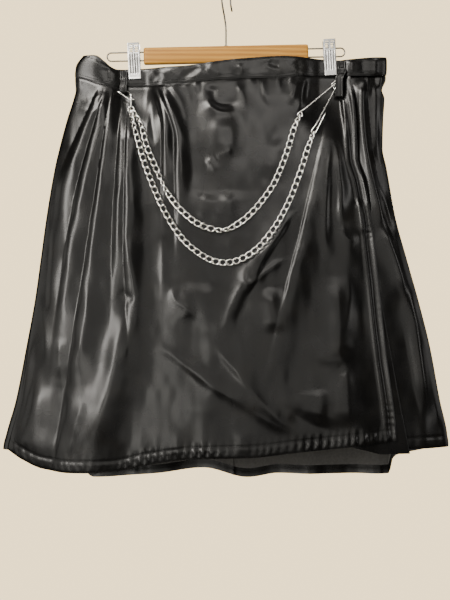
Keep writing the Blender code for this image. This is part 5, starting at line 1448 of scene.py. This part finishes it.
def jaw(front):
    """(points, faces, kinds) of one jaw: a pressed steel sheet with slots cut through it.

    The kinds are 1 in the grooves, which get the darker wire steel as painted shade, and 0 elsewhere.
    """
    ups = np.arange(CLIP_HEIGHT / 2, -CLIP_HEIGHT / 2 - 0.01, -JAW_STEP)
    across = np.linspace(-CLIP_WIDTH / 2, CLIP_WIDTH / 2, int(CLIP_WIDTH / JAW_STEP) + 1)
    out = through(JAW[::-1], "up", "out", ups)[:, None]
    x, up = np.broadcast_arrays(across[None, :], ups[:, None])
    deep = sum(bell(x - groove, GROOVE_WIDTH) for groove in GROOVES_ACROSS)
    deep = deep * ease(GROOVE_BOTTOM - 1.5, GROOVE_BOTTOM, up) * (1 - ease(GROOVE_TOP, GROOVE_TOP + 1.5, up))
    edge = 0.25 * np.exp(-((CLIP_WIDTH / 2 - np.abs(x)) / 0.7))
    flare = 0.21 * (1 - ease(-CLIP_HEIGHT / 2, -CLIP_HEIGHT / 2 + 3, up))
    y = -(out - GROOVE_DEPTH * np.minimum(deep, 1) - edge + flare)
    half = CLIP_SHEET / 2
    sheet = [np.stack([x, y + away, up], axis=-1).reshape(-1, 3) for away in (-half, half)]
    rows, columns = x.shape
    index = np.arange(rows * columns).reshape(rows, columns)
    open_cells = np.zeros((rows - 1, columns - 1), bool)
    mid_x = np.abs((across[:-1] + across[1:]) / 2)[None, :]
    mid_up = ((ups[:-1] + ups[1:]) / 2)[:, None]
    for slot in SLOT_UPS:
        open_cells |= (np.abs(mid_up - slot) < SLOT_HALF_HEIGHT) & (mid_x > SLOT_INNER) & (mid_x < SLOT_OUTER)
    faces, kinds = [], []
    shift = rows * columns
    solid = np.pad(~open_cells, 1)
    for r, c in zip(*np.nonzero(~open_cells)):
        corners = [int(i) for i in (index[r, c], index[r + 1, c], index[r + 1, c + 1], index[r, c + 1])]
        faces += [corners, [i + shift for i in corners[::-1]]]
        # faces deep in a groove get the darker steel: painted shade in the pressed lines
        kinds += [int(deep[r : r + 2, c : c + 2].mean() > 0.45)] * 2
        beside = ((r, c - 1, 0, 1), (r + 1, c, 1, 2), (r, c + 1, 2, 3), (r - 1, c, 3, 0))
        for rr, cc, one, other in beside:
            if not solid[rr + 1, cc + 1]:
                a, b = corners[one], corners[other]
                faces.append((b, a, a + shift, b + shift))
                kinds.append(0)
    points = np.concatenate(sheet)
    return points if front else points * np.array((-1, -1, 1)), faces, kinds


def spring_web():
    """(points, faces) of the bridge between the jaws: a bowed strip of sheet."""
    reach = JAW[2].out - CLIP_SHEET / 2 + 0.2
    y = np.linspace(-reach, reach, 25)
    middle = (WEB_TOP + WEB_BOTTOM) / 2 + WEB_BOW * (0.5 - (y / reach) ** 2)
    half_z, half_x = (WEB_TOP - WEB_BOTTOM) / 2 - 0.1, CLIP_WIDTH / 2 - 1.5
    corners = ((-half_x, half_z), (-half_x, -half_z), (half_x, -half_z), (half_x, half_z))
    return loft(np.stack([np.stack([0 * y + x, y, middle + z], axis=1) for x, z in corners], axis=1))


def clips():
    for clip in CLIPS:
        place = Matrix.Translation((clip.x, 0, -clip.down)) @ Matrix.Rotation(CLIP_TILT, 4, "Y")
        front, back = jaw(True), jaw(False)
        points, faces = join([front[:2], back[:2], spring_web()])
        kinds = front[2] + back[2]
        kinds += [0] * (len(faces) - len(kinds))
        # the second, darker steel paints shade into the jaws' grooves
        materials = [LOOKS["steel"], LOOKS["wire"]]
        piece = mesh_object(f"clip_sheet_{clip.name}", placed(points, place), faces, materials, kinds, 42)
        ridden(piece, "steel", f"clip_{clip.name}")


# Chain hardware -----------------------------------------------------------------------------------


def circle_line(centre, one, other, radius, count):
    angles = turns(count)[:, None]
    return np.array(centre) + radius * (np.cos(angles) * np.array(one) + np.sin(angles) * np.array(other))


def clasp(inside_y):
    """The swivel clasp: a bent hook through the left belt loop, a turned barrel and a swivel eye."""
    xs, downs = np.meshgrid(np.arange(-158.0, -140, 3), np.arange(176.0, 212, 4))
    cloth = float(front_y(xs, downs).min())
    body_y = min(inside_y - 2.0, cloth - CLOTH / 2 - SPARE - GAP - 3.3)
    path = [(p.x, inside_y + (body_y - inside_y) * p.share - p.out, -p.down) for p in CLASP_HOOK]
    barrel = [(-BODY_BOTTOM + along, BARREL_RADIUS * share) for along, share in BARREL_LOW]
    barrel += [(-BODY_TOP - along, BARREL_RADIUS * share) for along, share in BARREL_HIGH]
    neck_low = -EYE_DOWN + EYE_RADIUS - 0.4
    neck = ((neck_low, 1.5), (neck_low + 0.8, 1.6), (neck_low + 1.2, 1.1), (-BODY_BOTTOM + 1.0, 1.2))
    eye = circle_line((BODY_X, body_y, -EYE_DOWN), (0, 1, 0), (0, 0, 1), EYE_RADIUS, 28)
    parts = [
        tube_points(dense(path, 0.5), CLASP_WIRE, 12),
        revolve(barrel, (BODY_X, body_y, 0), (0, 0, 1)),
        revolve(neck, (BODY_X, body_y, 0), (0, 0, 1), 16),
        revolve(KNOB, (BODY_X, body_y, -KNOB_DOWN), (1, 0, 0), 14),
        tube_points(eye, EYE_WIRE, 12, closed=True),
    ]
    finished("clasp_metal", parts, "silver", "silver", "swivel_clasp", sharp=40)
    return body_y


def clasp_ring(y):
    centre = np.array((BODY_X, y, -(EYE_DOWN + 0.2 + RING_RADIUS)))
    line = circle_line(centre, (1, 0, 0), (0, 0, 1), RING_RADIUS, 40)
    finished("ring_wire", [tube_points(line, RING_WIRE, 12, closed=True)], "silver", "silver", "clasp_ring")
    return centre


def lie_on_cloth(flat, start_y, end_y, stand_off):
    """Gives a line across the front its depth: it lies on the highest cloth near it."""
    offsets = ((0, 0), (-7, 0), (7, 0), (0, -7), (0, 7), (5, 5), (-5, -5))
    near = np.min([front_y(flat[:, 0] + dx, flat[:, 1] + dz) for dx, dz in offsets], axis=0)
    y = near - stand_off
    reach = 12
    padded = np.pad(y, reach, mode="edge")
    low = np.array([padded[i : i + 2 * reach + 1].min() for i in range(len(y))])
    weights = np.hanning(2 * reach + 3)[1:-1]
    soft = np.convolve(np.pad(low, reach, mode="edge"), weights / weights.sum(), mode="valid")
    at_start = np.exp(-((np.arange(len(y)) / 14.0) ** 2))
    at_end = at_start[::-1]
    soft = soft * (1 - at_start) + start_y * at_start
    return soft * (1 - at_end) + end_y * at_end


def chain(row, start, end):
    """A curb chain: equal oval links of round wire, each twisted and hooked into the next."""
    flat = dense([(start[0], -start[2])] + [(p.x, p.down) for p in row.path] + [(end[0], -end[2])])
    shares = np.linspace(0, 1, len(flat))
    turned = np.abs(np.sin(np.radians(through(row.rolls, "along", "roll", shares))))
    flat_half = LINK_HALF_WIDTH * 0.45
    half_thick = LINK_SOLID_WIRE + flat_half + (LINK_HALF_WIDTH - flat_half) * turned
    y = lie_on_cloth(flat, start[1], end[1], CLOTH / 2 + SPARE + GAP + half_thick)
    line = np.stack([flat[:, 0], y, -flat[:, 1]], axis=1)
    along = lengths_along(line)
    room = along[-1] - 2 * LINK_SOLID_WIRE + LINK_FUSE
    count = round(room / LINK_PITCH)
    pitch = room / count
    half_length = (pitch + 2 * LINK_SOLID_WIRE - LINK_FUSE) / 2
    parts = []
    for number in range(count):
        middle = half_length + number * pitch
        one, other = (point_at(line, along, middle + end) for end in (-half_length, half_length))
        ahead = unit(other - one)
        across = unit(np.cross(ahead, (0, -1, 0)))
        roll = math.radians(float(through(row.rolls, "along", "roll", middle / along[-1])))
        across = across * math.cos(roll) + np.cross(ahead, across) * math.sin(roll)
        parts.append(link((one + other) / 2, ahead, across, np.cross(across, ahead), half_length))
    name = f"chain_{row.name}"
    finished(f"{name}_links", parts, "silver", "silver", name)


def link(centre, ahead, across, out, half_length):
    """(points, faces) of one twisted oval link, whose long sides are nearly straight."""
    cos, sin = np.cos(turns(30)), np.sin(turns(30))
    along = half_length * np.sign(cos) * np.abs(cos) ** 0.85
    wide = LINK_HALF_WIDTH * np.sign(sin) * np.abs(sin) ** 0.85
    roll = LINK_TWIST * along / half_length
    line = centre + np.outer(along, ahead) + np.outer(wide * np.cos(roll), across)
    return tube_points(line + np.outer(wide * np.sin(roll), out), LINK_WIRE, 8, closed=True)


def pin(row, inside_y):
    """A long pin of bent wire: an eye for the chain, a shaft, and a narrow turn through the belt loop."""
    x, down = row.eye
    y_eye = min(float(front_y(x + dx, down)) for dx in (-8, 0, 8)) - 4.4
    y_top = inside_y + row.apart
    start = np.array((x, y_eye, -down))
    ahead = np.array((row.top[0], y_top, -row.top[1])) - start
    length = float(np.linalg.norm(ahead))
    ahead /= length
    across = unit(np.cross(ahead, (0, -1, 0)))
    arm, back_to = row.second_arm, row.back_to
    path = [(arm, PIN_EYE), (arm - 3, PIN_EYE)] if arm else []
    path += arc((0, 0), PIN_EYE, range(90, 271, 15) if arm else range(-10, 271, 14))
    path += [(6, -PIN_EYE + 0.8), (14, -PIN_SHAFT), (length / 2, -PIN_SHAFT / 2)]
    path += [(length + more, wide) for more, wide in PIN_TURN]
    path += [(back_to + more, wide) for more, wide in PIN_BACK]
    bent = []
    for along, wide in path:
        point = start + ahead * along + across * wide
        point[1] = y_eye + (y_top - y_eye) * float(ease(12, length - 22, along))
        bent.append(point)
    line, radii = round_end(dense(bent, 0.6), PIN_WIRE)
    name = f"pin_{row.name}"
    finished(f"{name}_wire", [tube_points(line, radii, 12)], "silver", "silver", name)
    return start


def hardware(inside_left, inside_right):
    """Clasp, ring, pins and both chains between them."""
    ring = clasp_ring(clasp(inside_left))
    eyes = [pin(row, inside_right) for row in DRAPES]
    for row, eye in zip(DRAPES, eyes):
        a = math.radians(row.lean)
        start = ring + np.array((math.sin(a), 0, -math.cos(a))) * (RING_RADIUS - HOOKED_IN)
        last = np.array((row.path[-1].x, eye[1], -row.path[-1].down))
        chain(row, start, eye + unit(last - eye) * (PIN_EYE - HOOKED_IN))


# Studio -------------------------------------------------------------------------------------------

CAMERA_DISTANCE = 1.6
PICTURE_MIDDLE = (-0.0016, -0.5024)  # x and z of the picture's middle
FLOOR_Z = -1.2

ROOM_COLOUR, ROOM_LIGHT = (0.80, 0.77, 0.72, 1.0), 0.035  # what lights the skirt from all round
BACKDROP_COLOUR, BACKDROP_LIGHT = (1.0, 0.78, 0.44, 1.0), 2.5  # the pale backdrop that the camera sees

LAMPS = table(
    "name place target size power colour",
    ("key", (-0.75, -1.5, 0.75), (0, 0, -0.45), (0.8, 0.5), 35.0, (1.0, 0.955, 0.88)),
    ("left", (-1.15, -1.75, -0.05), (0, 0, -0.5), (0.35, 1.1), 20.0, (1.0, 0.96, 0.9)),
    ("front", (0.25, -2.3, 0.55), (0, 0, -0.4), (1.0, 0.5), 6.5, (1.0, 0.96, 0.9)),
    ("across", (0.0, -2.7, -0.5), (0, 0, -0.5), (2.2, 1.3), 9.5, (1.0, 0.97, 0.9)),
    ("low_left", (-0.8, -2.6, -0.75), (0, 0, -0.6), (0.45, 0.8), 4.0, (1.0, 0.97, 0.9)),
    ("room_left", (-1.9, -2.0, -0.4), (0, 0, -0.5), (1.6, 1.4), 9.0, (1.0, 0.97, 0.9)),
    ("side_left", (-2.2, -0.3, -0.4), (0, 0, -0.5), (1.3, 1.3), 6.5, (1.0, 0.97, 0.9)),
    ("right", (1.5, -1.1, -0.1), (0, 0, -0.5), (0.3, 1.2), 4.0, (1.0, 0.97, 0.93)),
    ("top", (0.1, -0.45, 0.9), (0, 0, -0.1), (1.2, 0.4), 9.5, (1.0, 0.96, 0.9)),
    ("behind", (0.8, 1.6, 0.3), (0, 0, -0.5), (0.8, 0.8), 24.0, (1.0, 0.97, 0.93)),
    ("behind_across", (-0.2, 2.7, -0.5), (0, 0, -0.5), (2.6, 1.4), 13.5, (1.0, 0.97, 0.93)),
    ("side_right", (2.2, 0.3, -0.4), (0, 0, -0.5), (1.3, 1.3), 4.0, (1.0, 0.97, 0.93)),
)


def studio():
    """Pale floor, soft lamps and the camera straight in front."""
    around = 96
    points, faces = [(0.0, 0.0, FLOOR_Z / MM)], []
    for radius, drop in ((350, 0), (690, 0), (700, 4)):
        points += [(radius * math.cos(a), radius * math.sin(a), FLOOR_Z / MM - drop) for a in turns(around)]
    for j in range(1, 1 + around):
        i = j % around + 1
        faces.append((0, j, i))
        for inner in (0, around):
            outer = inner + around
            faces.append((inner + j, outer + j, outer + i, inner + i))
    mesh_object("floor", points, faces, [LOOKS["stage"]])

    world = bpy.data.worlds.new("studio")
    world.use_nodes = True
    tree = world.node_tree
    room = tree.nodes["Background"]
    backdrop = tree.nodes.new("ShaderNodeBackground")
    lit = ((room, ROOM_COLOUR, ROOM_LIGHT), (backdrop, BACKDROP_COLOUR, BACKDROP_LIGHT))
    for node, colour, strength in lit:
        node.inputs["Color"].default_value = colour
        node.inputs["Strength"].default_value = strength
    seen = tree.nodes.new("ShaderNodeLightPath").outputs["Is Camera Ray"]
    mixed = tree.nodes.new("ShaderNodeMixShader")
    tree.links.new(seen, mixed.inputs["Fac"])
    tree.links.new(room.outputs["Background"], mixed.inputs[1])
    tree.links.new(backdrop.outputs["Background"], mixed.inputs[2])
    tree.links.new(mixed.outputs["Shader"], tree.nodes["World Output"].inputs["Surface"])
    bpy.context.scene.world = world

    for lamp in LAMPS:
        light = bpy.data.lights.new(lamp.name, "AREA")
        light.shape = "RECTANGLE"
        light.size, light.size_y = lamp.size
        light.energy = lamp.power
        light.color = lamp.colour
        obj = bpy.data.objects.new(lamp.name, light)
        obj.location = lamp.place
        aim = Vector(lamp.target) - Vector(lamp.place)
        obj.rotation_euler = aim.to_track_quat("-Z", "Y").to_euler()
        bpy.context.scene.collection.objects.link(obj)

    data = bpy.data.cameras.new("camera")
    data.sensor_fit = "HORIZONTAL"
    data.sensor_width = 36.0
    data.lens = 80.0
    camera = bpy.data.objects.new("camera", data)
    camera.location = (PICTURE_MIDDLE[0], -CAMERA_DISTANCE, PICTURE_MIDDLE[1])
    camera.rotation_euler = (math.pi / 2, 0, 0)
    bpy.context.scene.collection.objects.link(camera)
    bpy.context.scene.camera = camera


def pads():
    """The rubber pads keep the solids' shape."""
    for clip in CLIPS:
        for where in ("front", "back"):
            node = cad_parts[f"clip_{clip.name}_pad_{where}"]
            node.data.materials.clear()
            node.data.materials.append(LOOKS["rubber"])


def main():
    studio()
    front = front_overlap()
    right = right_panel()
    backs = back_panels()
    bands = waistbands()
    inside_left = strap("belt_loop_left", STRAP_LEFT, STRAP_LEFT_BOTTOM, 0.0)
    inside_right = strap("belt_loop_right", STRAP_RIGHT, STRAP_RIGHT_BOTTOM, STRAP_SLANT)
    sew(front, right, backs, bands)
    stitches()
    bar()
    hook()
    clip_loops()
    clips()
    pads()
    hardware(inside_left, inside_right)
    bpy.context.view_layer.update()


main()
